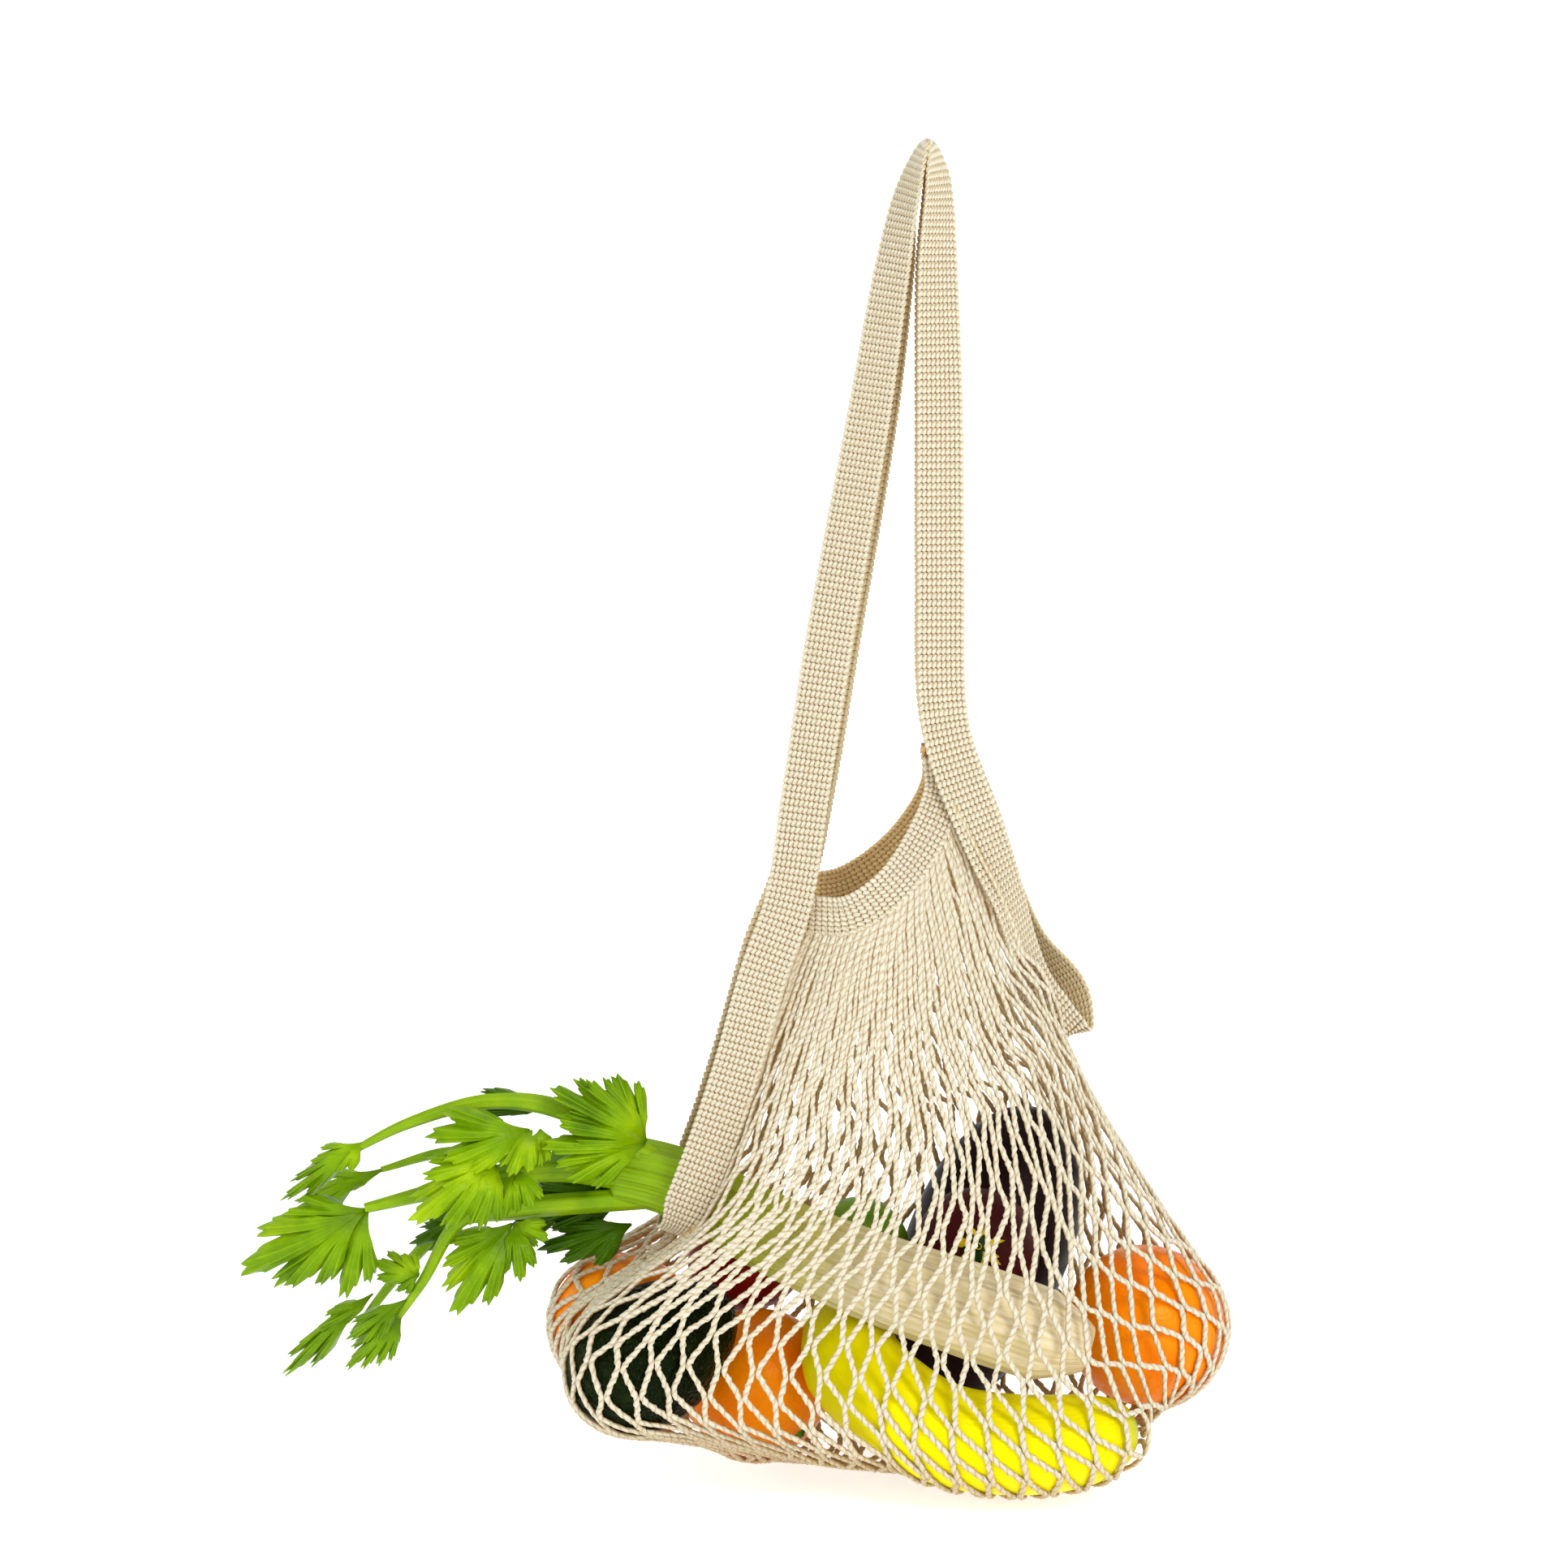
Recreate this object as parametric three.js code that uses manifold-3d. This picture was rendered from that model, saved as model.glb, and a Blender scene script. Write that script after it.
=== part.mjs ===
// A knitted string shopping bag that stands full of fruit and vegetables.
// Millimetres, X to the viewer's right, Y away from the viewer, Z up.
import * as THREE from 'three';
import { mergeVertices } from 'three/addons/utils/BufferGeometryUtils.js';
import Module from 'manifold-3d';

const wasm = await Module();
wasm.setup();

// Knitted bands
const BAND_WIDTH = 21;
const HEM_WIDTH = 17;
const BAND_THICKNESS = 2.4;
const RIM_OFFSET = 2.4;
const FOLD_DROP = 5;

// Net of cords: columns counted round the bag, rows of half meshes from rim to bottom seam
const COLUMNS = 30;
const ROWS = 16;
const BAND_COLUMNS = 3;
const CORD_WIDTH = 2.6;
const CORD_RISE = 1.3;
const CORD_SINK = 0.7;
const CORD_CLEARANCE = 3.5;
const WRAPPING_STEPS = 260;
const SINKING_STEPS = 60;
const SINK_DEPTH = 6;
const HOOP_PULL = 0.2;
const HULL_DIRECTIONS = 500;
const SPREAD_BY = 0.6;
const SEAM_REACH = 144;
const SEAM_Y = 8;

// Fruit radii and lengths
const CITRUS_FRONT_R = 34;
const CITRUS_LEFT_R = 33;
const CITRUS_RIGHT_R = 36.5;
const TOMATO_R = 27;
const RED_FRUIT_R = 28.5;
const LIME_R = 23;
const AVOCADO_LENGTH = 84;
const AVOCADO_R = 32;
const AUBERGINE_LENGTH = 158;
const AUBERGINE_R = 39;
const BANANA_R = 22.5;
const CELERY_R = 20.5;
const LEAF_THICKNESS = 1.0;

const V = (x, y, z) => new THREE.Vector3(x, y, z);
const mix = (a, b, t) => a + (b - a) * t;
const smooth = (a, b, t) => THREE.MathUtils.smoothstep(t, a, b);

// Closed solid from rings of points that run from one end point to another
function solidFromRings(rings, startTip, endTip) {
  const sides = rings[0].length;
  const points = [startTip, ...rings.flat(), endTip];
  const last = points.length - 1;
  const faces = [];
  const at = (ring, side) => 1 + ring * sides + (side % sides);
  for (let s = 0; s < sides; s += 1) {
    faces.push(0, at(0, s + 1), at(0, s));
    for (let r = 0; r + 1 < rings.length; r += 1) {
      faces.push(at(r, s), at(r, s + 1), at(r + 1, s + 1));
      faces.push(at(r, s), at(r + 1, s + 1), at(r + 1, s));
    }
    faces.push(last, at(rings.length - 1, s), at(rings.length - 1, s + 1));
  }
  return indexedGeometry(points, faces);
}

function indexedGeometry(points, faces) {
  const geometry = new THREE.BufferGeometry();
  geometry.setFromPoints(points);
  geometry.setIndex(faces);
  geometry.computeVertexNormals();
  return geometry;
}

// Round body along a bent spine, its radius given by a function of the way along
function bodyOnSpine(spine, radiusAt, sides, steps, lobe) {
  const rings = [];
  for (let k = 1; k < steps; k += 1) {
    const t = (1 - Math.cos((Math.PI * k) / steps)) / 2;
    const centre = spine.getPoint(t);
    const along = spine.getTangent(t);
    const across = V(0, 1, 0).cross(along).normalize();
    const over = along.clone().cross(across);
    const ring = [];
    for (let s = 0; s < sides; s += 1) {
      const turn = (2 * Math.PI * s) / sides;
      const radius = radiusAt(t) * (lobe ? lobe(turn, t) : 1);
      const point = centre.clone();
      point.addScaledVector(across, radius * Math.cos(turn));
      point.addScaledVector(over, radius * Math.sin(turn));
      ring.push(point);
    }
    rings.push(ring);
  }
  return solidFromRings(rings, spine.getPoint(0), spine.getPoint(1));
}

// Turned fruit: a closed profile about its own axis, laid along a direction
function turnedFruit(profile, sides, centre, direction) {
  const geometry = new THREE.LatheGeometry(profile, sides);
  const turn = new THREE.Quaternion();
  turn.setFromUnitVectors(V(0, 1, 0), direction.clone().normalize());
  geometry.applyQuaternion(turn);
  geometry.translate(centre.x, centre.y, centre.z);
  return geometry;
}

// Half outline from the bottom of the axis to the top, with a dimple at either end
function roundProfile(radius, height, topDimple, bottomDimple, steps) {
  const profile = [];
  for (let k = 0; k <= steps; k += 1) {
    const angle = -Math.PI / 2 + (Math.PI * k) / steps;
    const x = radius * Math.cos(angle);
    const near = Math.exp(-((x / (radius * 0.28)) ** 2));
    const dip = near * (angle > 0 ? -topDimple : bottomDimple);
    profile.push(new THREE.Vector2(k === 0 || k === steps ? 0 : x, height * Math.sin(angle) + dip));
  }
  return profile;
}

// Pear-like outline, fuller toward its lower end
function pearProfile(length, radius, fullness, steps) {
  const profile = [];
  for (let k = 0; k <= steps; k += 1) {
    const angle = (Math.PI * k) / steps;
    const along = -Math.cos(angle) * 0.5;
    const x = radius * Math.sin(angle) * (1 - fullness * (along + 0.18));
    profile.push(new THREE.Vector2(k === 0 || k === steps ? 0 : x, along * length));
  }
  return profile;
}

// Balls that fill a turned outline, used to lay the net over the fruit
function ballsOf(profile, centre, direction) {
  const axis = direction.clone().normalize();
  const low = profile[0].y;
  const high = profile[profile.length - 1].y;
  const balls = [];
  for (let k = 0; k <= 8; k += 1) {
    const y = mix(low, high, 0.08 + 0.84 * (k / 8));
    let radius = Infinity;
    for (let a = 0; a + 1 < profile.length; a += 1) {
      for (let b = 0; b < 4; b += 1) {
        const px = mix(profile[a].x, profile[a + 1].x, b / 4);
        const py = mix(profile[a].y, profile[a + 1].y, b / 4);
        radius = Math.min(radius, Math.hypot(px, py - y));
      }
    }
    balls.push({ centre: centre.clone().addScaledVector(axis, y), radius });
  }
  return balls;
}

// Contents: where each piece lies and which way its axis points
const citrusFrontAt = V(-57, 8, 36.5);
const citrusLeftAt = V(-118, 23, 61);
const citrusRightAt = V(119, 10, 63);
const avocadoAt = V(-102, -42, 64);
const tomatoAt = V(-62, 46, 85);
const redFruitAt = V(42, 7, 98);
const limeAt = V(-11, 48, 90);
const aubergineAt = V(46, 71, 75);
const avocadoAxis = V(0.78, 0.4, 0.48);
const aubergineAxis = V(-0.38, -0.17, -0.91);
const avocadoProfile = pearProfile(AVOCADO_LENGTH, AVOCADO_R, 0.28, 12);
const aubergineProfile = pearProfile(AUBERGINE_LENGTH, AUBERGINE_R, 0.25, 13);

const bananaSpine = new THREE.CatmullRomCurve3([
  V(-24, -8, 73),
  V(-15, -29, 56.5),
  V(0, -46, 44),
  V(25, -52, 30),
  V(57, -53, 25),
  V(88, -51, 27),
  V(111, -48, 34),
]);
const bananaRadius = (t) => BANANA_R * Math.min(1, (4.5 * t + 0.25) ** 0.5) * (1 - t ** 9) ** 0.5;

const celerySpine = new THREE.CatmullRomCurve3([
  V(90, -38, 64),
  V(41, -38, 80.5),
  V(-12, -35, 99),
  V(-54, -27, 116),
  V(-92, -18, 135),
  V(-122, -14, 142),
]);
const celeryRadius = (t) => {
  const body = mix(CELERY_R, 14.5, smooth(0.05, 0.95, t));
  return body * Math.min(1, Math.sqrt(9 * t + 0.25)) * Math.min(1, Math.sqrt(30 * (1 - t)));
};

// Knitted strap: one closed loop, listed from the left fold over the top to the right fold.
// Each station has its middle, the depths of the front and back layers and the inner edge's side.
// Where it leans, the back layer's middle lies that much further out.
const STRAP = [
  { x: -95, z: 114, front: -18, back: -18, side: V(0.94, 0, -0.35) },
  { x: -91, z: 120, front: -37, back: 1, side: V(0.94, 0, -0.35) },
  { x: -85, z: 135, front: -43, back: 8, side: V(0.94, 0, -0.35) },
  { x: -75, z: 162, front: -44, back: 12, side: V(0.94, 0, -0.34) },
  { x: -65.5, z: 191, front: -44, back: 18, side: V(0.94, 0, -0.33) },
  { x: -53.5, z: 234, front: -43, back: 31, lean: 1, side: V(0.95, 0, -0.31) },
  { x: -43, z: 264, front: -40, back: 38, lean: 2.5, side: V(0.97, 0, -0.24) },
  { x: -35.5, z: 311, front: -34, back: 33, lean: 4.5, side: V(0.98, 0, -0.17) },
  { x: -25.5, z: 375, front: -26, back: 26, lean: 5, side: V(0.98, -0.12, -0.15) },
  { x: -7, z: 480, front: -15, back: 15, lean: 4.5, side: V(0.85, -0.5, -0.13) },
  { x: 2.5, z: 540, front: -12.5, back: 12.5, lean: 3, side: V(0.68, -0.72, -0.12) },
  { x: 9, z: 572, front: -12, back: 12, side: V(0.45, -0.88, -0.15) },
  { x: 18, z: 594.5, front: -12, back: 12, side: V(0, -1, 0) },
  { x: 22, z: 580, front: -12, back: 12, side: V(-0.48, -0.87, 0) },
  { x: 22.2, z: 540, front: -12.5, back: 12.5, side: V(-0.82, -0.57, 0) },
  { x: 23.4, z: 480, front: -15, back: 15, side: V(-0.96, -0.28, 0) },
  { x: 24, z: 409, front: -18, back: 19, side: V(-0.99, -0.12, 0) },
  { x: 25.5, z: 345, front: -21, back: 23, side: V(-0.98, -0.1, -0.1) },
  { x: 31, z: 322, front: -22, back: 24, side: V(-0.97, 0, -0.25) },
  { x: 44.5, z: 288, front: -21, back: 26, side: V(-0.82, -0.32, -0.45) },
  { x: 54.5, z: 263, front: -15, back: 25, side: V(-0.6, -0.7, -0.38) },
  { x: 61.5, z: 240, front: -8, back: 23, lean: 4, side: V(-0.52, -0.76, -0.35) },
  { x: 69.5, z: 216, front: -2, back: 22, lean: 13, side: V(-0.7, -0.52, -0.46) },
  { x: 85, z: 198, front: 8, back: 8, side: V(-0.95, 0, -0.3) },
];

// Hem across the mouth, from the left strap to the right strap, front layer and back layer
const HEM = [
  { x: -38, z: 259.3, front: -35.2, back: 32.2, side: V(-0.1, 0, -1) },
  { x: -30, z: 258.6, front: -36.5, back: 33.4, side: V(-0.05, 0, -1) },
  { x: -16, z: 260, front: -43, back: 43, side: V(0.1, 0, -1) },
  { x: 1, z: 271, front: -42, back: 42, side: V(0.5, 0, -0.86) },
  { x: 16.5, z: 290, front: -27, back: 30, side: V(0.82, 0, -0.57) },
  { x: 25.5, z: 311, front: -16.6, back: 18.8, side: V(0.92, 0, -0.4) },
  { x: 24.5, z: 328, front: -18, back: 20, side: V(0.98, 0, -0.2) },
];

const stationAt = (s, back) => V(s.x + (back ? s.lean || 0 : 0), back ? s.back : s.front, s.z);
const stationSide = (s, back) => V(s.side.x, back ? -s.side.y : s.side.y, s.side.z).normalize();

// Flat strip with a rectangular section along stations, as a loop or with two ends
function ribbon(centres, sides, width, closed, steps) {
  const line = new THREE.CatmullRomCurve3(centres, closed, 'centripetal');
  const sideLine = new THREE.CatmullRomCurve3(sides, closed, 'centripetal');
  const points = [];
  const count = closed ? steps : steps + 1;
  for (let k = 0; k < count; k += 1) {
    const t = k / steps;
    const centre = line.getPoint(t);
    const along = line.getTangent(t);
    const side = sideLine.getPoint(t);
    side.addScaledVector(along, -side.dot(along)).normalize();
    const face = along.clone().cross(side);
    for (const [a, b] of [[1, 1], [-1, 1], [-1, -1], [1, -1]]) {
      const corner = centre.clone().addScaledVector(side, (a * width) / 2);
      points.push(corner.addScaledVector(face, (b * BAND_THICKNESS) / 2));
    }
  }
  const faces = [];
  const at = (k, c) => (k % count) * 4 + (c % 4);
  for (let k = 0; k < steps; k += 1) {
    for (let c = 0; c < 4; c += 1) {
      faces.push(at(k, c), at(k + 1, c), at(k + 1, c + 1));
      faces.push(at(k, c), at(k + 1, c + 1), at(k, c + 1));
    }
  }
  if (!closed) {
    faces.push(at(0, 0), at(0, 1), at(0, 2), at(0, 0), at(0, 2), at(0, 3));
    const e = steps;
    faces.push(at(e, 0), at(e, 2), at(e, 1), at(e, 0), at(e, 3), at(e, 2));
  }
  return outwardGeometry(points, faces);
}

// Turns every face over where the solid would have come out inside out
function outwardGeometry(points, faces) {
  let volume = 0;
  for (let f = 0; f < faces.length; f += 3) {
    const [a, b, c] = [points[faces[f]], points[faces[f + 1]], points[faces[f + 2]]];
    volume += a.dot(b.clone().cross(c));
  }
  return indexedGeometry(points, volume < 0 ? faces.slice().reverse() : faces);
}

function strapGeometry() {
  const inner = STRAP.slice(1, -1);
  const order = [
    ...STRAP.map((s) => [s, false]),
    ...inner.slice().reverse().map((s) => [s, true]),
  ];
  const centres = order.map(([s, back]) => stationAt(s, back));
  const sides = order.map(([s, back]) => stationSide(s, back));
  return ribbon(centres, sides, BAND_WIDTH, true, order.length * 2);
}

function hemGeometry(back) {
  const centres = HEM.map((s) => stationAt(s, back));
  const sides = HEM.map((s) => stationSide(s, back));
  return ribbon(centres, sides, HEM_WIDTH, false, 16);
}

// Points where the net hangs from the bands, two for each column of one face
function rimOfFace(back) {
  const edge = (stations, width) => {
    const list = stations.map((s) => {
      return stationAt(s, back).addScaledVector(stationSide(s, back), width / 2 + RIM_OFFSET);
    });
    return new THREE.CatmullRomCurve3(list, false, 'centripetal');
  };
  const left = edge(STRAP.slice(0, 7), BAND_WIDTH);
  for (const low of left.points.slice(0, 2)) low.z -= FOLD_DROP;
  const hem = edge(HEM, HEM_WIDTH);
  const right = edge(STRAP.slice(18).reverse(), BAND_WIDTH);
  right.points[0].z -= FOLD_DROP;
  const rim = [];
  for (let k = 0; k <= COLUMNS; k += 1) {
    const fromLeft = k / 2;
    const fromRight = COLUMNS / 2 - fromLeft;
    const hemSpan = COLUMNS / 2 - 2 * (BAND_COLUMNS + 1);
    if (fromLeft <= BAND_COLUMNS) rim.push(left.getPointAt(0.92 * (fromLeft / BAND_COLUMNS) ** 1.4));
    else if (fromRight <= BAND_COLUMNS) rim.push(right.getPointAt((0.8 * fromRight) / BAND_COLUMNS));
    else {
      const t = THREE.MathUtils.clamp((fromLeft - BAND_COLUMNS - 1) / hemSpan, 0, 1);
      rim.push(hem.getPointAt(mix(0.14, 0.72, t)));
    }
  }
  return rim;
}

// How far the whole load reaches in many directions, as a taut skin round it would
function hullOf(balls) {
  const hull = [];
  for (let k = 0; k < HULL_DIRECTIONS; k += 1) {
    const height = 1 - (2 * k + 1) / HULL_DIRECTIONS;
    const turn = k * Math.PI * (3 - Math.sqrt(5));
    const flat = Math.sqrt(1 - height * height);
    const way = V(flat * Math.cos(turn), flat * Math.sin(turn), height);
    let reach = -Infinity;
    for (const ball of balls) reach = Math.max(reach, way.dot(ball.centre) + ball.radius);
    hull.push({ way, reach });
  }
  return hull;
}

// Moves the inner points of a line along it until they stand at the given shares of its length
function respace(line, shares) {
  const length = [0];
  for (let k = 1; k < line.length; k += 1) {
    length.push(length[k - 1] + line[k].distanceTo(line[k - 1]));
  }
  const total = length[length.length - 1];
  const spaced = line.map((point) => point.clone());
  let seg = 1;
  for (let k = 1; k + 1 < line.length; k += 1) {
    const want = total * shares[k];
    while (seg + 1 < line.length && length[seg] < want) seg += 1;
    const t = (want - length[seg - 1]) / Math.max(1e-6, length[seg] - length[seg - 1]);
    spaced[k].copy(line[seg - 1]).lerp(line[seg], t);
  }
  return spaced;
}

function sharesOf(lengths) {
  const sums = [0];
  for (const length of lengths) sums.push(sums[sums.length - 1] + length);
  return sums.map((sum) => sum / sums[sums.length - 1]);
}

// Shares along a column that give its cords one length where the meshes open to different widths
function columnShares(column, halfWidths) {
  let total = 0;
  for (let r = 1; r < column.length; r += 1) total += column[r].distanceTo(column[r - 1]);
  const cord = (1.15 * total) / ROWS;
  const steps = [];
  for (let r = 1; r < column.length; r += 1) {
    const open = Math.min(0.85, (halfWidths[r] + halfWidths[r - 1]) / 2 / cord);
    steps.push(Math.sqrt(1 - open * open));
  }
  return sharesOf(steps);
}

// Keeps a point of the net on the inner side of the two side bands, above the folds they end in
function keepInside(point) {
  for (const [stations, sign] of [[STRAP.slice(0, 7), 1], [STRAP.slice(18).reverse(), -1]]) {
    for (let k = 0; k + 1 < stations.length; k += 1) {
      const [a, b] = [stations[k], stations[k + 1]];
      const low = a.z + (a.side.z * BAND_WIDTH) / 2;
      const high = b.z + (b.side.z * BAND_WIDTH) / 2;
      if (point.z < low - (k === 0 ? FOLD_DROP : 0) || point.z > high) continue;
      const t = Math.max(0, (point.z - low) / (high - low));
      const edge = mix(a.x + (a.side.x * BAND_WIDTH) / 2, b.x + (b.side.x * BAND_WIDTH) / 2, t);
      const limit = edge + sign * RIM_OFFSET;
      if ((point.x - limit) * sign < 0) point.x = limit;
    }
  }
}

// Lays the net: points are pulled along the columns and round the hoops, and kept out of the load.
// Knots are every second point, and the two faces share the seam along the bottom.
function layNet(balls) {
  const front = rimOfFace(false);
  const back = rimOfFace(true);
  const around = 2 * COLUMNS;
  const wrap = (c) => ((c % around) + around) % around;
  const onSeam = (c) => Math.min(wrap(c), around - wrap(c));
  let grid = [];
  for (let row = 0; row <= ROWS; row += 1) {
    const line = [];
    const v = row / ROWS;
    for (let c = 0; c < around; c += 1) {
      const rim = c <= COLUMNS ? front[c] : back[around - c];
      const angle = (2 * Math.PI * c) / around;
      const point = rim.clone().lerp(V(-SEAM_REACH * Math.cos(angle), SEAM_Y, -4), v);
      const swell = row === 0 ? 0 : Math.sin(Math.PI * v) ** 0.6;
      point.x -= 75 * swell * Math.cos(angle);
      point.y -= 125 * swell * Math.sin(angle);
      line.push(point);
    }
    grid.push(line);
  }
  const gap = CORD_SINK + CORD_CLEARANCE;
  const hull = hullOf(balls.filter((ball) => !ball.loose));
  const pushOut = (point, sink) => {
    let best = -Infinity;
    let face = 0;
    for (let h = 0; h < hull.length; h += 1) {
      const n = hull[h].way;
      const out = n.x * point.x + n.y * point.y + n.z * point.z - hull[h].reach;
      if (out > best) {
        best = out;
        face = h;
      }
    }
    const short = gap - sink - best;
    if (short > 0) point.addScaledVector(hull[face].way, short);
    for (const ball of sink > 0 ? balls : []) {
      const away = point.clone().sub(ball.centre);
      const depth = ball.radius + gap - away.length();
      if (depth > 0) point.add(away.setLength(depth));
    }
  };
  for (let c = 0; c <= COLUMNS; c += 1) {
    const seam = grid[ROWS][c].set(mix(-SEAM_REACH, SEAM_REACH, c / COLUMNS), SEAM_Y, -Infinity);
    for (const { way, reach } of hull) {
      if (way.z > -0.05) continue;
      seam.z = Math.max(seam.z, (reach + gap - way.x * seam.x - way.y * seam.y) / way.z);
    }
  }
  const gapsAlong = (line) => line.slice(1).map((point, k) => 1 + point.distanceTo(line[k]));
  const rimShares = { 1: sharesOf(gapsAlong(front)), [-1]: sharesOf(gapsAlong(back)) };
  const at = (row, c) => (row === ROWS ? grid[row][onSeam(c)] : grid[row][wrap(c)]);
  for (let step = 0; step < WRAPPING_STEPS + SINKING_STEPS; step += 1) {
    const sink = (SINK_DEPTH * Math.max(0, step - WRAPPING_STEPS)) / SINKING_STEPS;
    const next = grid.map((line) => line.map((point) => point.clone()));
    for (let row = 1; row < ROWS; row += 1) {
      for (let c = 0; c < around; c += 1) {
        const below = at(row + 1, c);
        const hoop = at(row, c - 1).clone().add(at(row, c + 1)).multiplyScalar(HOOP_PULL);
        const point = next[row][c].copy(at(row - 1, c)).add(below).add(hoop);
        point.divideScalar(2 + 2 * HOOP_PULL);
        pushOut(point, sink);
        keepInside(point);
      }
    }
    grid = next;
    if (step % 5 === 4) {
      for (let c = 0; c < around; c += 1) {
        const column = [];
        const halfWidths = [];
        for (let row = 0; row <= ROWS; row += 1) {
          column.push(at(row, c));
          halfWidths.push(at(row, c - 1).distanceTo(at(row, c + 1)) / 2);
        }
        const spaced = respace(column, columnShares(column, halfWidths));
        for (let row = 1; row < ROWS; row += 1) next[row][c] = spaced[row];
      }
      for (let row = 1; row < ROWS; row += 1) {
        const even = smooth(0, SPREAD_BY, row / ROWS);
        for (const side of [1, -1]) {
          const line = [];
          for (let k = 0; k <= COLUMNS; k += 1) line.push(at(row, side * k));
          const shares = rimShares[side].map((share, k) => mix(share, k / COLUMNS, even));
          const spaced = respace(line, shares);
          for (let k = 1; k < COLUMNS; k += 1) next[row][wrap(side * k)] = spaced[k];
        }
      }
    }
  }
  for (let row = 1; row < ROWS; row += 1) {
    for (const point of grid[row]) {
      pushOut(point, SINK_DEPTH);
      keepInside(point);
    }
  }
  const knots = [];
  for (let row = 0; row <= ROWS; row += 1) {
    for (let i = 0; i < COLUMNS; i += 1) knots.push(at(row, 2 * i + (row % 2)).clone());
  }
  const index = (row, i) => {
    const column = ((i % COLUMNS) + COLUMNS) % COLUMNS;
    return row * COLUMNS + (row === ROWS ? Math.min(column, COLUMNS - column) : column);
  };
  const legs = [];
  for (let row = 0; row < ROWS; row += 1) {
    for (let i = 0; i < COLUMNS; i += 1) {
      const shift = row % 2;
      legs.push({ upper: index(row, i), lower: index(row + 1, i + shift), toRight: true, row, i });
      legs.push({ upper: index(row, i), lower: index(row + 1, i + shift - 1), toRight: false, row, i });
    }
  }
  clearLegs(knots, legs, balls, gap);
  return { knots, legs };
}

// Moves knots until the cords between them pass clear of the load and of the side bands
function clearLegs(knots, legs, balls, gap) {
  for (let round = 0; round < 60; round += 1) {
    for (const leg of legs) {
      const a = knots[leg.upper];
      const b = knots[leg.lower];
      for (const t of [0.2, 0.4, 0.6, 0.8]) {
        const move = (way) => {
          way.divideScalar(t * t + (1 - t) * (1 - t));
          if (leg.upper >= COLUMNS) a.addScaledVector(way, 1 - t);
          b.addScaledVector(way, t);
        };
        for (const ball of balls) {
          const away = a.clone().lerp(b, t).sub(ball.centre);
          const depth = ball.radius + gap - away.length();
          if (depth > 0) move(away.setLength(depth));
        }
        const point = a.clone().lerp(b, t);
        const inside = point.clone();
        keepInside(inside);
        move(inside.sub(point));
      }
    }
  }
}

// One solid of ridged cords that share corner points where they cross
function netGeometry(balls) {
  const { knots, legs } = layNet(balls);
  const half = COLUMNS / 2;
  const used = new Set();
  const around = knots.map(() => ({}));
  for (const leg of legs) {
    used.add(leg.upper);
    used.add(leg.lower);
    const down = knots[leg.lower].clone().sub(knots[leg.upper]);
    const length = down.length();
    down.normalize();
    const up = down.clone().negate();
    leg.fromBack = leg.row + 1 === ROWS && leg.i >= half;
    around[leg.upper][leg.toRight ? 'dr' : 'dl'] = { way: down, length };
    if (leg.fromBack) around[leg.lower][leg.toRight ? 'dr' : 'dl'] = { way: up, length };
    else around[leg.lower][leg.toRight ? 'ul' : 'ur'] = { way: up, length };
  }
  const points = [];
  const faces = [];
  const corners = new Map();
  const corner = (knot, normal, a, b, fallback) => {
    const point = knots[knot].clone().addScaledVector(normal, -CORD_SINK);
    if (!a || !b) {
      const only = a || b;
      const aside = normal.clone().cross(only.way).normalize();
      if (aside.dot(fallback) < 0) aside.negate();
      return point.addScaledVector(aside, CORD_WIDTH / 2);
    }
    const between = a.way.clone().add(b.way);
    const cos = Math.min(1, between.length() / 2);
    const sin = Math.sqrt(Math.max(0.0025, 1 - cos * cos));
    if (between.length() < 0.05) between.copy(fallback);
    between.addScaledVector(normal, -between.dot(normal)).normalize();
    const reach = Math.min(CORD_WIDTH / 2 / sin, 0.42 * Math.min(a.length, b.length), 3 * CORD_WIDTH);
    return point.addScaledVector(between, reach);
  };
  for (const knot of used) {
    const { ul, ur, dl, dr } = around[knot];
    const zero = V(0, 0, 0);
    const sum = (a, b) => zero.clone().add(a ? a.way : zero).add(b ? b.way : zero);
    const right = sum(ur, dr).sub(sum(ul, dl));
    const up = sum(ul, ur).sub(sum(dl, dr));
    if (right.length() < 0.08) right.set(-up.y, up.x, 0);
    const normal = right.clone().cross(up).normalize();
    const base = points.length;
    points.push(knots[knot].clone().addScaledVector(normal, CORD_RISE));
    const own = { A: base };
    const add = (name, a, b, fallback) => {
      if (!a && !b) return;
      own[name] = points.length;
      points.push(corner(knot, normal, a, b, fallback));
    };
    const east = up.clone().cross(normal).normalize();
    add('T', ul, ur, up);
    add('R', ur, dr, east);
    add('B', dr, dl, up.clone().negate());
    add('L', dl, ul, east.clone().negate());
    corners.set(knot, own);
    const { A, T, R, B, L } = own;
    if (ul && ur && dl && dr) faces.push(T, R, B, T, B, L);
    else if (dl && dr) faces.push(R, B, L, R, L, A);
    else if (ur && dr) faces.push(T, R, B, T, B, A);
    else faces.push(B, L, T, B, T, A);
  }
  for (const leg of legs) {
    const u = corners.get(leg.upper);
    const d = corners.get(leg.lower);
    const [ur, ulft] = leg.toRight ? [u.R, u.B] : [u.B, u.L];
    let [dr, dlft] = leg.toRight ? [d.T, d.L] : [d.R, d.T];
    if (leg.fromBack) [dr, dlft] = leg.toRight ? [d.B, d.R] : [d.L, d.B];
    faces.push(u.A, d.A, dr, u.A, dr, ur);
    faces.push(ur, dr, dlft, ur, dlft, ulft);
    faces.push(ulft, dlft, d.A, ulft, d.A, u.A);
  }
  return outwardGeometry(points, faces);
}

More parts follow.
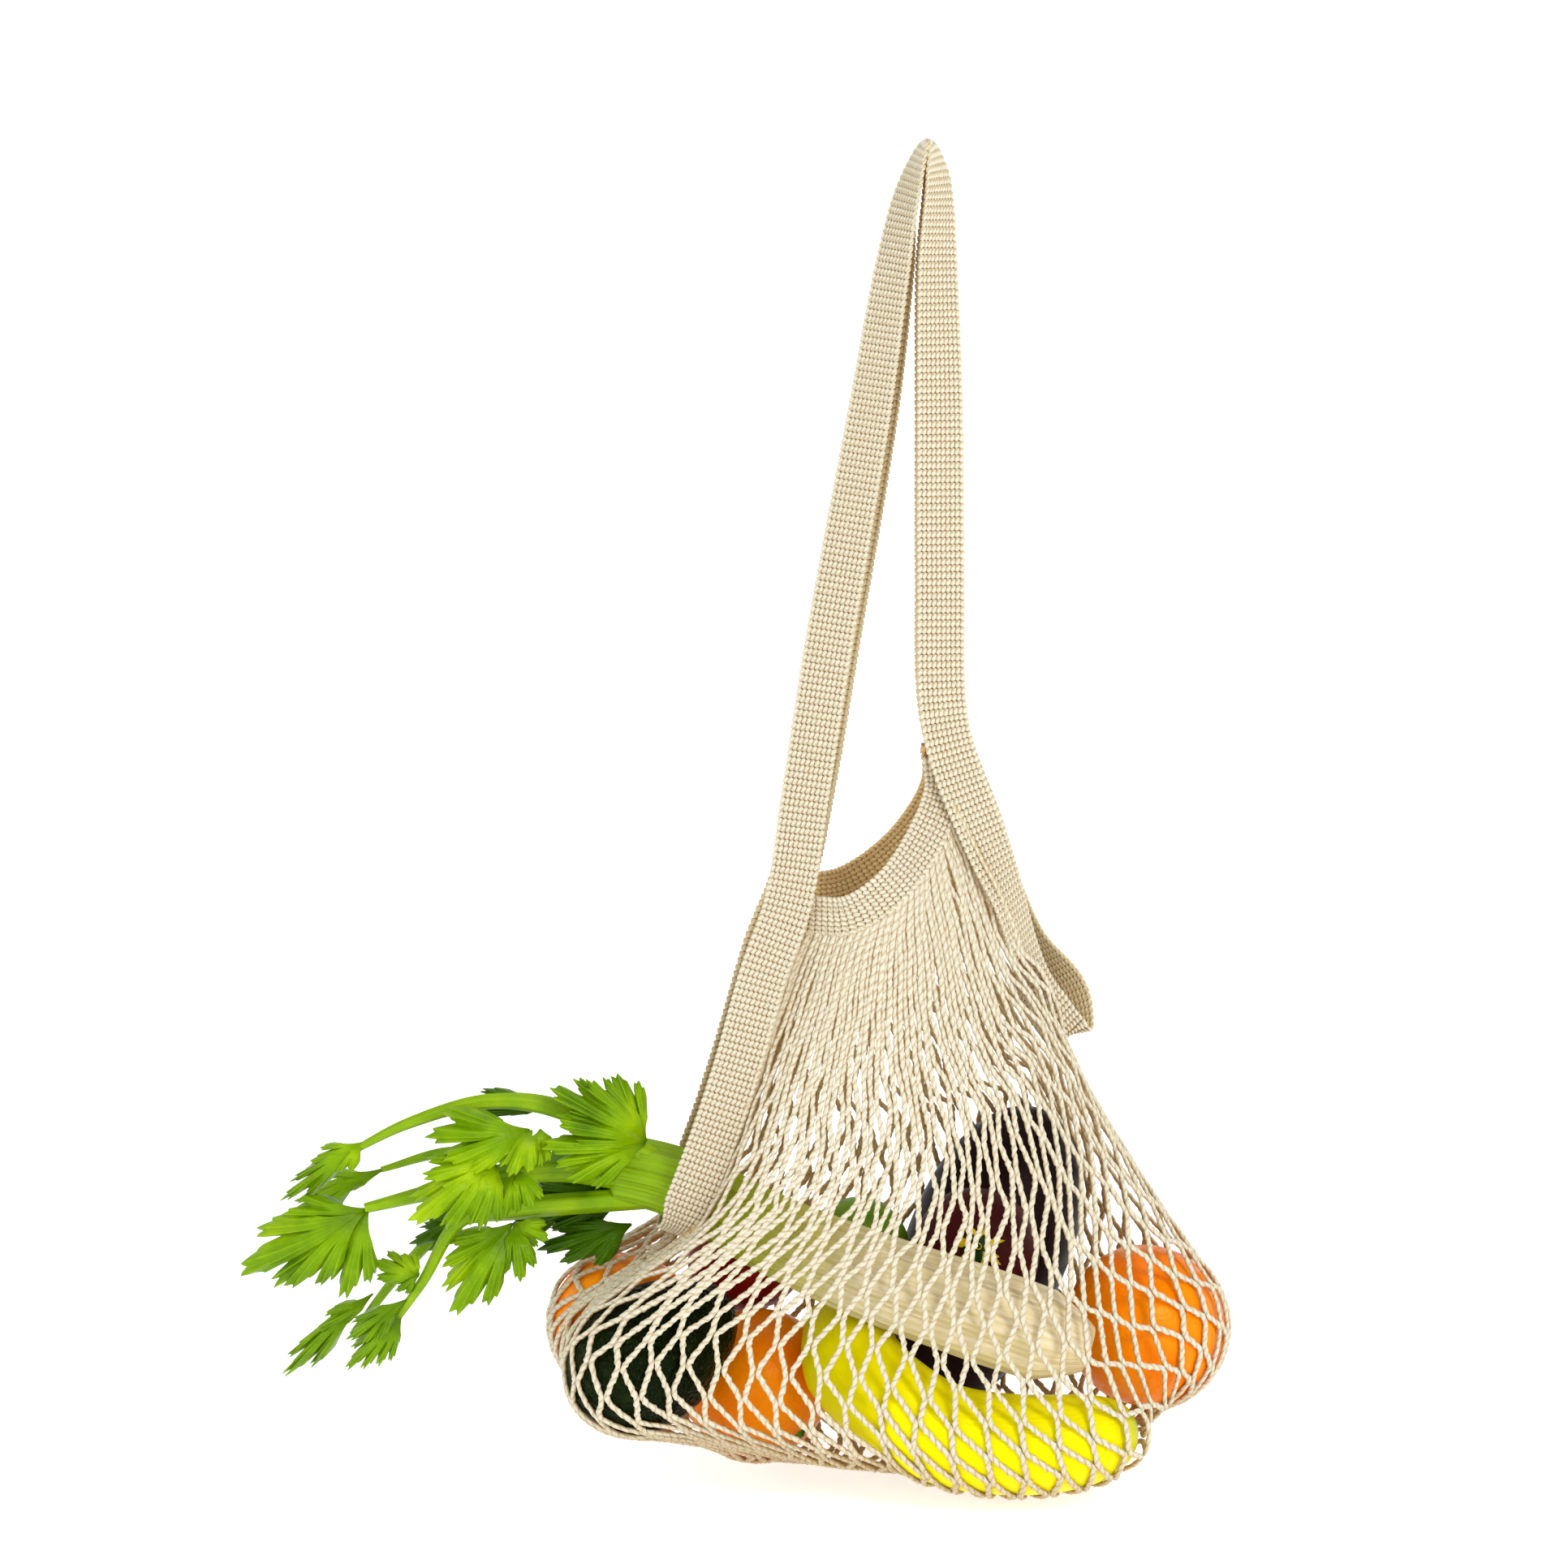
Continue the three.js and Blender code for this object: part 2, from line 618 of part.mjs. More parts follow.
// Leaf: a thin wavy plate with pointed lobes that fan from its root, both faces split alike
function leafGeometry(root, tip, spread, roll) {
  const along = tip.clone().sub(root);
  const length = along.length();
  along.normalize();
  const across = along.clone().cross(V(0, -1, 0.25)).normalize();
  across.applyAxisAngle(along, roll);
  const face = across.clone().cross(along);
  const reachAt = [0.5, 0.82, 0.84, 0.5, 0.92, 1, 0.92, 0.5, 0.84, 0.82, 0.5];
  const rays = reachAt.length;
  const sheet = [root.clone()];
  for (const part of [0.55, 1]) {
    for (let k = 0; k < rays; k += 1) {
      const turn = spread * ((2 * k) / (rays - 1) - 1);
      const reach = length * reachAt[k] * part;
      const point = root.clone().addScaledVector(along, reach * Math.cos(turn));
      point.addScaledVector(across, reach * Math.sin(turn));
      const bow = 0.06 * Math.cos(5 * turn + part) - 0.22 * part * turn * turn;
      point.addScaledVector(face, reach * bow);
      sheet.push(point);
    }
  }
  const points = [];
  for (const lift of [0.5, -0.5]) {
    for (const point of sheet) points.push(point.clone().addScaledVector(face, lift * LEAF_THICKNESS));
  }
  const faces = [];
  const under = sheet.length;
  const both = (a, b, c) => faces.push(a, b, c, a + under, c + under, b + under);
  const wall = (a, b) => faces.push(b, a, a + under, b, a + under, b + under);
  for (let k = 1; k < rays; k += 1) {
    both(0, k, k + 1);
    both(k, k + rays, k + 1 + rays);
    both(k, k + 1 + rays, k + 1);
    wall(k + rays, k + 1 + rays);
  }
  wall(0, 1);
  wall(1, 1 + rays);
  wall(2 * rays, rays);
  wall(rays, 0);
  return outwardGeometry(points, faces);
}

function toManifold(geometry) {
  geometry.deleteAttribute('normal');
  geometry.deleteAttribute('uv');
  const merged = mergeVertices(geometry, 1e-4);
  return new wasm.Manifold(new wasm.Mesh({
    numProp: 3,
    vertProperties: new Float32Array(merged.attributes.position.array),
    triVerts: new Uint32Array(merged.index.array),
  }));
}

function fromManifold(solid) {
  const mesh = solid.getMesh();
  const geometry = new THREE.BufferGeometry();
  geometry.setAttribute('position', new THREE.BufferAttribute(new Float32Array(mesh.vertProperties), 3));
  geometry.setIndex(new THREE.BufferAttribute(new Uint32Array(mesh.triVerts), 1));
  geometry.computeVertexNormals();
  return geometry;
}

// Celery stems that fan out past the left slit: the way each runs and its girth
const STEMS = [
  { girth: 5.0, way: [V(-96, -20, 142), V(-144, -30, 171), V(-176, -34, 175), V(-211, -34, 165), V(-236, -32, 152)] },
  { girth: 4.4, way: [V(-98, -12, 138), V(-163, -2, 143), V(-196, 4, 144), V(-226, 9, 135)] },
  { girth: 7.5, way: [V(-92, -18, 135), V(-148, -24, 143), V(-190, -30, 136), V(-230, -34, 127)] },
  { girth: 5.0, way: [V(-98, -13, 128), V(-164, 2, 118), V(-193, 10, 111), V(-216, 14, 89), V(-240, 16, 58)] },
  { girth: 4.6, way: [V(-98, -20, 129), V(-162, -22, 125), V(-188, -22, 119), V(-206, -20, 90), V(-221, -18, 68)] },
];

// Leaves: the stem each grows from, how far along it, where its point lies and its half spread
const LEAVES = [
  { stem: 0, from: 0.12, tip: V(-146, -46, 186), spread: 1.2 },
  { stem: 0, from: 0.08, tip: V(-122, -14, 184), spread: 0.7 },
  { stem: 2, from: 0.45, tip: V(-197, -44, 168), spread: 1.0 },
  { stem: 2, from: 0.52, tip: V(-209, -52, 129), spread: 1.2 },
  { stem: 2, from: 0.4, tip: V(-168, -48, 124), spread: 0.8 },
  { stem: 2, from: 0.99, tip: V(-285, -40, 101), spread: 1.2 },
  { stem: 0, from: 0.97, tip: V(-270, -28, 124), spread: 0.6 },
  { stem: 1, from: 0.97, tip: V(-271, 12, 117), spread: 0.6 },
  { stem: 3, from: 0.9, tip: V(-280, 16, 34), spread: 0.6 },
  { stem: 4, from: 0.97, tip: V(-241, -16, 47), spread: 0.8 },
  { stem: 4, from: 0.5, tip: V(-194, -28, 79), spread: 1.2 },
  { stem: 3, from: 0.4, tip: V(-147, 6, 94), spread: 0.9 },
  { stem: 1, from: 0.2, tip: V(-156, 8, 98), spread: 0.8 },
];

function celeryGeometry() {
  const ribs = (turn, t) => 1 + 0.07 * Math.cos(8 * turn) * smooth(0.02, 0.2, t);
  let celery = toManifold(bodyOnSpine(celerySpine, celeryRadius, 16, 12, ribs));
  const stems = STEMS.map((stem) => new THREE.CatmullRomCurve3(stem.way));
  stems.forEach((stem, k) => {
    const girth = (t) => STEMS[k].girth * mix(1, 0.42, t) * Math.min(1, Math.sqrt(60 * t + 0.3));
    celery = celery.add(toManifold(bodyOnSpine(stem, girth, 6, 9)));
  });
  LEAVES.forEach((leaf, k) => {
    const root = stems[leaf.stem].getPoint(leaf.from);
    root.addScaledVector(leaf.tip.clone().sub(root), -0.02);
    celery = celery.add(toManifold(leafGeometry(root, leaf.tip, leaf.spread, 0.3 * Math.sin(3 * k))));
  });
  return fromManifold(celery);
}

const citrusProfile = (radius) => roundProfile(radius, radius * 0.98, 1.6, 0.8, 11);
const tomatoProfile = roundProfile(TOMATO_R, TOMATO_R * 0.9, 4, 1, 10);
const redFruitProfile = roundProfile(RED_FRUIT_R, RED_FRUIT_R * 0.98, 4, 5, 11);
const limeProfile = roundProfile(LIME_R, LIME_R * 1.04, 0.6, 0, 9);

const TURNED = [
  ['citrus_front', citrusProfile(CITRUS_FRONT_R), citrusFrontAt, V(0.37, -0.55, -0.74), 0xff8a08, 0.5],
  ['citrus_left', citrusProfile(CITRUS_LEFT_R), citrusLeftAt, V(0.2, 0.3, 0.9), 0xff8a08, 0.5],
  ['citrus_right', citrusProfile(CITRUS_RIGHT_R), citrusRightAt, V(0.75, -0.3, 0.55), 0xff8a08, 0.5],
  ['avocado', avocadoProfile, avocadoAt, avocadoAxis, 0x18240f, 0.45],
  ['tomato', tomatoProfile, tomatoAt, V(-0.2, 0.3, 0.93), 0x7a1a10, 0.3],
  ['red_fruit', redFruitProfile, redFruitAt, V(0, -0.95, 0.3), 0x4a0f12, 0.35],
  ['lime', limeProfile, limeAt, V(0.8, 0.1, 0.6), 0x58962a, 0.45],
  ['aubergine', aubergineProfile, aubergineAt, aubergineAxis, 0x22101c, 0.2],
];

function ballsOnSpine(spine, radiusAt, from, to, count) {
  const balls = [];
  for (let k = 0; k <= count; k += 1) {
    const t = mix(from, to, k / count);
    balls.push({ centre: spine.getPoint(t), radius: radiusAt(t) });
  }
  return balls;
}

const group = new THREE.Group();
group.name = 'string_shopping_bag';

function addPart(name, geometry, colour, roughness) {
  const material = new THREE.MeshStandardMaterial({ color: colour, roughness, metalness: 0 });
  material.name = name;
  const mesh = new THREE.Mesh(geometry, material);
  mesh.name = name;
  group.add(mesh);
}

const netBalls = [
  ...ballsOnSpine(bananaSpine, bananaRadius, 0.06, 0.96, 14),
  ...ballsOnSpine(celerySpine, (t) => celeryRadius(t) * 1.08, 0.04, 0.5, 8),
  ...ballsOnSpine(celerySpine, (t) => celeryRadius(t) * 1.08, 0.55, 0.95, 8).map((ball) => ({ ...ball, loose: true })),
];
for (const [name, profile, centre, axis, colour, roughness] of TURNED) {
  addPart(name, turnedFruit(profile, 14, centre, axis), colour, roughness);
  const widest = Math.max(...profile.map((point) => point.x));
  const tall = profile[profile.length - 1].y - profile[0].y;
  if (tall < 2.2 * widest) netBalls.push({ centre, radius: Math.max(widest, tall / 2) });
  else netBalls.push(...ballsOf(profile, centre, axis));
}
addPart('banana', bodyOnSpine(bananaSpine, bananaRadius, 12, 16), 0xf2e60c, 0.4);
addPart('celery', celeryGeometry(), 0x86b51c, 0.5);
addPart('net', netGeometry(netBalls), 0xe6dbc0, 0.9);
addPart('strap_band', strapGeometry(), 0xe9dcbe, 0.9);
addPart('hem_front', hemGeometry(false), 0xe9dcbe, 0.9);
addPart('hem_back', hemGeometry(true), 0xe9dcbe, 0.9);

// The bag stands on the floor with the origin under its middle
const box = new THREE.Box3().setFromObject(group);
const middle = box.getCenter(V(0, 0, 0));
for (const mesh of group.children) mesh.position.set(-middle.x, -middle.y, -box.min.z);

export default group;
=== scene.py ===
# A knitted string bag full of fruit and vegetables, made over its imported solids.
# Lengths are millimetres in the bag's own axes until to_frame() turns them into metres.
import math

import bpy
import numpy as np
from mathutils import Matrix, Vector, noise


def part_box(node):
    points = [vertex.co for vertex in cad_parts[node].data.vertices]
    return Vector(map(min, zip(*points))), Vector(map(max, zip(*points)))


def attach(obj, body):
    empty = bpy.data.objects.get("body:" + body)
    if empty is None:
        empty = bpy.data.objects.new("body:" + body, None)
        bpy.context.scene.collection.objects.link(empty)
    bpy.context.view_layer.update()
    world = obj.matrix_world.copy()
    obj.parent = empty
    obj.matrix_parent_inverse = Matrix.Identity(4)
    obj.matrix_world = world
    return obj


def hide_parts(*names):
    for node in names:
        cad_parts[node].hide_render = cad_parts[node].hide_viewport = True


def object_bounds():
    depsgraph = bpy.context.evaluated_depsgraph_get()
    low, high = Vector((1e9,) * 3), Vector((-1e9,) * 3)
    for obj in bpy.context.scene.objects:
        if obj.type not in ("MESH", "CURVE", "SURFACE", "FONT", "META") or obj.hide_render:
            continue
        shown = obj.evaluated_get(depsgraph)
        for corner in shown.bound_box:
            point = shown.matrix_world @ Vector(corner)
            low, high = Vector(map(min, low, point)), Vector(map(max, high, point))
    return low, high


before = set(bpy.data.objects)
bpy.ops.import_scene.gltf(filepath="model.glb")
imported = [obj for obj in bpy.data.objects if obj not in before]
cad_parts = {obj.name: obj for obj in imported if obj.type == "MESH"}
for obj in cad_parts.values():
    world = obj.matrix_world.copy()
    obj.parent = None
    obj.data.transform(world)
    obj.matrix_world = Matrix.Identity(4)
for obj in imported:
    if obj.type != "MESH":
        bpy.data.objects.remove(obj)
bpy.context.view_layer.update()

rng = np.random.default_rng(7)
MM = 0.001

# Camera of the photograph
PIXEL_MM = 0.36
FRAME_PIXELS = 1932
CAMERA_DISTANCE = 2200
CAMERA_ELEVATION = math.radians(8)
CAMERA_TARGET = np.array([-44.64, 0.0, 311.63])
SENSOR_MM = 36

# White studio, in metres; lights are given by their place, size and power
FLOOR_RADIUS = 3.6
WALL_BEND = 1.4
BEND_STEPS = 12
WALL_HEIGHT = 2.6
WALL_SIDES = 64
FLOOR_GLOW = 0.6
WORLD_LIGHT = 0.45
LIGHT_AIM = (0, 0, 0.2)
LIGHTS = {
    "key": ((1.1, -1.7, 1.4), 0.8, 23),
    "fill": ((-1.7, -1.2, 0.8), 1.3, 9),
    "top": ((0.2, 0.3, 2.4), 1.6, 13),
}

# Knitted bands
BAND_WIDTH = 21
HEM_WIDTH = 17
BAND_THICKNESS = 2.4
BAND_STRANDS = 10
HEM_STRANDS = 8
KNIT_ROW = 3.0
# Places in a knit row, with the strand's half width and half depth there as shares of their full size
KNIT_STITCH = ((0.0, 1.0, 0.95), (0.36, 0.98, 0.9), (0.5, 0.32, 0.45), (0.64, 0.98, 0.9))
KNIT_RINGS = len(KNIT_STITCH)
STITCH_LEANS = (0.0, 0.1, 0.0, -0.1)
STRAND_FULLNESS = 0.54
STRAND_UNEVENNESS = 0.04
EDGE_STRAND_SCALE = 1.1
# Share of a band's width left at a fold, and the rise over which it widens again
LEFT_FOLD = (0.65, 18)
RIGHT_FOLD = (0.85, 14)
CORE_STEP = 2.0
CORE_SIDES = 4
CORE_THICKNESS = 0.5
CORE_SHARE = 0.93
RIM_INSET = 1.2
FOLD_DROP = 2.0
# How far the net's front laps over the side bands at their stations, from the fold up
LEFT_LAPS = (6, 3, 0, 0, 0, 0, 0)
RIGHT_LAPS = (5, 17, 9, 4, 3, 0)

# Net of cords
COLUMNS = 52
ROWS = 24
# Rows of the net that are sewn along each side band, from the hem down to the band's fold
LEFT_ROWS = 17
RIGHT_ROWS = 9
# Shares of the hem and of the side bands that the net is sewn along
HEM_SPAN = (0.0, 0.84)
LEFT_SPAN = 0.94
RIGHT_SPAN = 0.9
CORD_HALF_WIDTH = 1.3
CORD_HALF_DEPTH = 1.0
# Thickness of the lowest cords against the others, and the heights over which it changes
LOW_CORD_SCALE = 1.1
LOW_CORD_HEIGHTS = (100, 170)
CORD_UNEVENNESS = 0.07
# Half width and depth at every first and second stitch, as shares of the cord's own
STITCH_WIDTHS = (0.84, 1.06)
STITCH_DEPTHS = (1.05, 0.9)
CORD_SIDES = 6
# Places round a cord's uv map of the way its normal points and of the way opposite
IN_PLACE = 0.25 - 0.5 / CORD_SIDES
OUT_PLACE = 0.75 - 0.5 / CORD_SIDES
STITCH_STEP = 1.4
STITCH_SWAY = 0.12
CORD_TURN_RINGS = 3
CORD_LIFT = 0.15
JOINT_RUN = 1.0
# Distance of a cord from its joint as a share of its half width, and how far crowded cords drop behind
JOINT_GAP = 0.9
CROWD_DROP = 0.9
# How far joints stray along the cords and aside, the share of it left low down, and the rows between
JOINT_STRAY = 2.2
ASIDE_STRAY = 1.1
LOW_STRAY = 0.4
STRAY_ROWS = (0.35, 0.65)
NET_GAP = 1.3
# How far the net starts out from straight lines, across and in depth
START_ACROSS = 75
START_DEPTHS = np.array([-125, 125])
SPACING_STEPS = 5
# Cord between two joints against a row's mean height, and the most that a mesh opens
CORD_SLACK = 1.15
MOST_OPENED = 0.85
WRAPPING_STEPS = 300
SINKING_STEPS = 80
SINK_DEPTH = 7
HOOP_PULL = 0.2
HULL_DIRECTIONS = 500
# Distance between columns at the left edge, against the rest of the row
LEFT_PITCH = 1.3
# How much of a row's fall counts when it is divided among the columns, high up and low down
FALL_SHARES = (0.3, 0.4)
FALL_ROWS = (0.35, 0.7)
SEAM_REACH = 144
SEAM_Y = 8
NET_PIECES = 4

# Round fruit: radius, centre and axis; height as a share of the width and depths of the dimples
# at top and bottom; size, height and seed of the skin's lumps
CITRUS_FORM = (0.98, 1.6, 0.8)
ROUND_FRUIT = {
    "citrus_front": (34, (-57, 8, 36.5), (0.62, -0.52, -0.585), CITRUS_FORM, (18, 0.55, 3)),
    "citrus_left": (33, (-118, 23, 61), (0.2, 0.3, 0.9), CITRUS_FORM, (18, 0.55, 4)),
    "citrus_right": (36.5, (119, 10, 63), (0.75, -0.3, 0.55), CITRUS_FORM, (18, 0.55, 5)),
    "tomato": (27, (-62, 46, 85), (-0.2, 0.3, 0.93), (0.9, 4, 1), (30, 0.5, 13)),
    "red_fruit": (28.5, (42, 7, 98), (0, -0.95, 0.3), (0.98, 4, 5), (24, 0.6, 14)),
    "lime": (23, (-11, 48, 90), (0.8, 0.1, 0.6), (1.04, 0.6, 0), (16, 0.4, 15)),
}
# Pear shapes: length, radius and fullness; centre and axis; lumps
PEARS = {
    "avocado": ((84, 32, 0.28), (-102, -42, 64), (0.78, 0.4, 0.48), (6, 0.45, 11)),
    "aubergine": ((158, 39, 0.25), (46, 71, 75), (-0.38, -0.17, -0.91), (40, 0.8, 12)),
}
# Stars on fruit ends: how deep they sit, size, points, height and seed
CALYX_STAR = (1.4, 6.0, 5, 1.8, 20)
RING_STAR = (1.2, 11.5, 7, 1.6, 31)
MIDDLE_STAR = (0.3, 7.0, 5, 1.6, 32)
# Rings and sides of the bodies
FRUIT_MESH = (56, 108)
BANANA_MESH = (120, 72)
CELERY_MESH = (90, 160)
STEM_MESH = (60, 24)
BANANA_R = 22.5
BANANA_SPINE = [
    (-24, -8, 73), (-15, -29, 56.5), (0, -46, 44), (25, -52, 30),
    (57, -53, 25), (88, -51, 27), (111, -48, 34),
]
CELERY_R = 20.5
CELERY_SPINE = [
    (90, -38, 64), (41, -38, 80.5), (-12, -35, 99),
    (-54, -27, 116), (-92, -18, 135), (-122, -14, 142),
]
STEMS = [
    (5.0, [(-96, -20, 142), (-144, -30, 171), (-176, -34, 175), (-211, -34, 165), (-236, -32, 152)]),
    (4.4, [(-98, -12, 138), (-163, -2, 143), (-196, 4, 144), (-226, 9, 135)]),
    (7.5, [(-92, -18, 135), (-148, -24, 143), (-190, -30, 136), (-230, -34, 127)]),
    (5.0, [(-98, -13, 128), (-164, 2, 118), (-193, 10, 111), (-216, 14, 89), (-240, 16, 58)]),
    (4.6, [(-98, -20, 129), (-162, -22, 125), (-188, -22, 119), (-206, -20, 90), (-221, -18, 68)]),
]
# Leaves: where each grows from, and the tips and half widths of its leaflets
LEAVES = [
    ((-105, -24, 154), [((-146, -50, 184), 8.5), ((-130, -44, 187), 7), ((-121, -30, 185), 7.5),
                        ((-150, -52, 157), 8.5), ((-139, -50, 145), 7), ((-141, -52, 171), 7)]),
    ((-155, -40, 164), [((-201, -56, 163), 9), ((-193, -58, 154), 8.5), ((-165, -60, 148), 7)]),
    ((-152, -38, 164), [((-156, -50, 148), 5), ((-147, -48, 152), 4.5)]),
    ((-171, -44, 150), [((-209, -62, 129), 10), ((-202, -60, 149), 7), ((-177, -62, 124), 7.5),
                        ((-192, -64, 126), 8)]),
    ((-162, -40, 146), [((-170, -52, 126), 6), ((-154, -52, 132), 6)]),
    ((-228, -34, 127), [((-284, -44, 98), 11.5), ((-266, -44, 95), 8.5), ((-242, -40, 88), 9),
                        ((-266, -40, 125), 5.5)]),
    ((-229, -32, 157), [((-269, -30, 129), 4.5), ((-243, -36, 144), 4), ((-254, -32, 146), 4)]),
    ((-223, 9, 136), [((-258, 8, 123), 4.5), ((-273, 10, 113), 5)]),
    ((-165, -12, 116), [((-194, -28, 79), 10), ((-196, -26, 98), 7), ((-162, -26, 92), 7),
                        ((-150, -20, 109), 6.5)]),
    ((-207, -18, 93), [((-227, -26, 99), 6), ((-215, -24, 103), 4.5), ((-218, -22, 87), 3.5)]),
    ((-230, 16, 77), [((-274, 14, 39), 5), ((-254, 8, 60), 4)]),
    ((-212, -20, 83), [((-241, -22, 64), 5), ((-234, -24, 63), 3.5)]),
    ((-215, -19, 76), [((-240, -20, 49), 4.5), ((-226, -18, 50), 4)]),
]
# Leaves lying under the others, drawn in the darker painted-shade copy of the leaf material.
LEAVES_BELOW = [
    ((-112, 2, 112), [((-156, -4, 101), 8), ((-140, -6, 99), 8)]),
    ((-116, 0, 127), [((-156, 2, 127), 9), ((-146, 0, 134), 7)]),
    ((-118, 6, 120), [((-150, 6, 112), 9), ((-160, 4, 118), 8)]),
    ((-140, 8, 120), [((-176, 8, 119), 8), ((-168, 6, 110), 7)]),
    ((-180, 4, 117), [((-214, 2, 103), 6), ((-205, 2, 112), 5)]),
    ((-144, 0, 167), [((-190, -4, 167), 5)]),
]
LEAF_THICKNESS = 0.7
LEAFLET_ROWS = 13
LEAFLET_TEETH = 11
LOBE_DEPTH = 0.34
TOOTH_DEPTH = 0.075

# Strap from the left fold over the top to the right fold:
# middle x and z, depths of the front and back layers, side of the inner edge,
# and where it leans, how much further out the back layer lies
STRAP = [
    (-95, 114, -18, -18, (0.94, 0, -0.35)), (-91, 120, -37, 1, (0.94, 0, -0.35)),
    (-85, 135, -43, 8, (0.94, 0, -0.35)), (-75, 162, -44, 12, (0.94, 0, -0.34)),
    (-65.5, 191, -44, 18, (0.94, 0, -0.33)), (-53.5, 234, -43, 31, (0.95, 0, -0.31), 1),
    (-43, 264, -40, 38, (0.97, 0, -0.24), 2.5), (-35.5, 311, -34, 33, (0.98, 0, -0.17), 4.5),
    (-25.5, 375, -26, 26, (0.98, -0.12, -0.15), 5), (-7, 480, -15, 15, (0.85, -0.5, -0.13), 4.5),
    (2.5, 540, -12.5, 12.5, (0.68, -0.72, -0.12), 3), (9, 572, -12, 12, (0.45, -0.88, -0.15)),
    (18, 594.5, -12, 12, (0, -1, 0)), (22, 580, -12, 12, (-0.48, -0.87, 0)),
    (22.2, 540, -12.5, 12.5, (-0.82, -0.57, 0)), (23.4, 480, -15, 15, (-0.96, -0.28, 0)),
    (24, 409, -18, 19, (-0.99, -0.12, 0)), (25.5, 345, -21, 23, (-0.98, -0.1, -0.1)),
    (31, 322, -22, 24, (-0.97, 0, -0.25)), (44.5, 288, -21, 26, (-0.82, -0.32, -0.45)),
    (54.5, 263, -15, 25, (-0.6, -0.7, -0.38)), (61.5, 240, -8, 23, (-0.52, -0.76, -0.35), 4),
    (69.5, 216, -2, 22, (-0.7, -0.52, -0.46), 13), (85, 198, 8, 8, (-0.95, 0, -0.3)),
]
HEM = [
    (-38, 259.3, -35.2, 32.2, (-0.1, 0, -1)), (-30, 258.6, -36.5, 33.4, (-0.05, 0, -1)),
    (-16, 260, -43, 43, (0.1, 0, -1)), (1, 271, -42, 42, (0.5, 0, -0.86)),
    (16.5, 290, -27, 30, (0.82, 0, -0.57)), (25.5, 311, -16.6, 18.8, (0.92, 0, -0.4)),
    (24.5, 328, -18, 20, (0.98, 0, -0.2)),
]
LEFT_BAND = slice(0, 7)
RIGHT_BAND = slice(18, None)


def unit(v):
    v = np.asarray(v, float)
    return v / np.maximum(1e-9, np.linalg.norm(v, axis=-1, keepdims=True))


def mix(a, b, t):
    return a + (b - a) * t


def smooth(a, b, t):
    x = np.clip((np.asarray(t, float) - a) / (b - a), 0, 1)
    return x * x * (3 - 2 * x)


def catmull(points, t, closed=False):
    """Centripetal Catmull-Rom curve through points; t runs from 0 to 1 over the whole curve."""
    p = np.asarray(points, float)
    parts = len(p) if closed else len(p) - 1
    if closed:
        padded = np.concatenate([p[-1:], p, p[:2]])
    else:
        padded = np.concatenate([2 * p[:1] - p[1:2], p, 2 * p[-1:] - p[-2:-1]])
    place = np.asarray(t, float) * parts
    seg = np.minimum(place.astype(int), parts - 1)
    w = (place - seg)[:, None]
    x0, x1, x2, x3 = (padded[seg + k] for k in range(4))
    d0, d1, d2 = (np.maximum(1e-3, np.linalg.norm(b - a, axis=-1, keepdims=True)) ** 0.5
                  for a, b in ((x0, x1), (x1, x2), (x2, x3)))
    t1 = d1 * ((x1 - x0) / d0 - (x2 - x0) / (d0 + d1) + (x2 - x1) / d1)
    t2 = d1 * ((x2 - x1) / d1 - (x3 - x1) / (d1 + d2) + (x3 - x2) / d2)
    return (x1 + t1 * w + (3 * (x2 - x1) - 2 * t1 - t2) * w ** 2
            + (2 * (x1 - x2) + t1 + t2) * w ** 3)


def sums_of(lengths):
    return np.concatenate([[0], np.cumsum(lengths)])


def shares_of(lengths):
    sums = sums_of(lengths)
    return sums / sums[-1]


def run_along(line):
    """Distance along a line of each of its points."""
    return sums_of(np.linalg.norm(np.diff(line, axis=0), axis=1))


def at_runs(wanted, run, values):
    """Points or directions of a line at the wanted distances along it."""
    return np.stack([np.interp(wanted, run, values[:, k]) for k in range(3)], -1)


def even_times(points, step, closed=False):
    """Curve times that stand about step apart along the curve."""
    t = np.linspace(0, 1, 40 * len(points) + 1)
    run = run_along(catmull(points, t, closed))
    count = max(2, int(round(run[-1] / step)))
    times = np.interp(np.linspace(0, run[-1], count + 1), run, t)
    return times[:-1] if closed else times


# Lines of the bands, and the way from the bag's own axes to the frame

def station_points(stations, back):
    lean = [s[5] if back and len(s) > 5 else 0 for s in stations]
    return np.array([(s[0] + x, s[3] if back else s[2], s[1]) for s, x in zip(stations, lean)], float)


def station_sides(stations, back):
    return unit([(s[4][0], -s[4][1] if back else s[4][1], s[4][2]) for s in stations])


def strap_line():
    """Centres and sides of the strap's closed loop: the front layer, then the back layer the other way."""
    inner = STRAP[1:-1][::-1]
    centres = np.concatenate([station_points(STRAP, False), station_points(inner, True)])
    sides = np.concatenate([station_sides(STRAP, False), station_sides(inner, True)])
    return centres, sides


def band_frames(centres, sides, times, closed):
    """Middle line of a band with its side and face directions, at given curve times."""
    middle = catmull(centres, times, closed)
    if closed:
        along = unit(np.roll(middle, -1, 0) - np.roll(middle, 1, 0))
    else:
        along = unit(np.gradient(middle, axis=0))
    side = catmull(sides, times, closed)
    side = unit(side - along * (side * along).sum(-1, keepdims=True))
    return middle, side, np.cross(along, side)


def frame_shift():
    """What moves the bag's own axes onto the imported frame, found from the strap's solid."""
    centres, sides = strap_line()
    middle, side, face = band_frames(centres, sides, even_times(centres, CORE_STEP, True), True)
    corners = [middle + a * side * BAND_WIDTH / 2 + b * face * BAND_THICKNESS / 2
               for a in (1, -1) for b in (1, -1)]
    corners = np.concatenate(corners)
    lo, hi = (np.array(v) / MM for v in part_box("strap_band"))
    return (lo + hi) / 2 - (corners.min(0) + corners.max(0)) / 2


SHIFT = frame_shift()


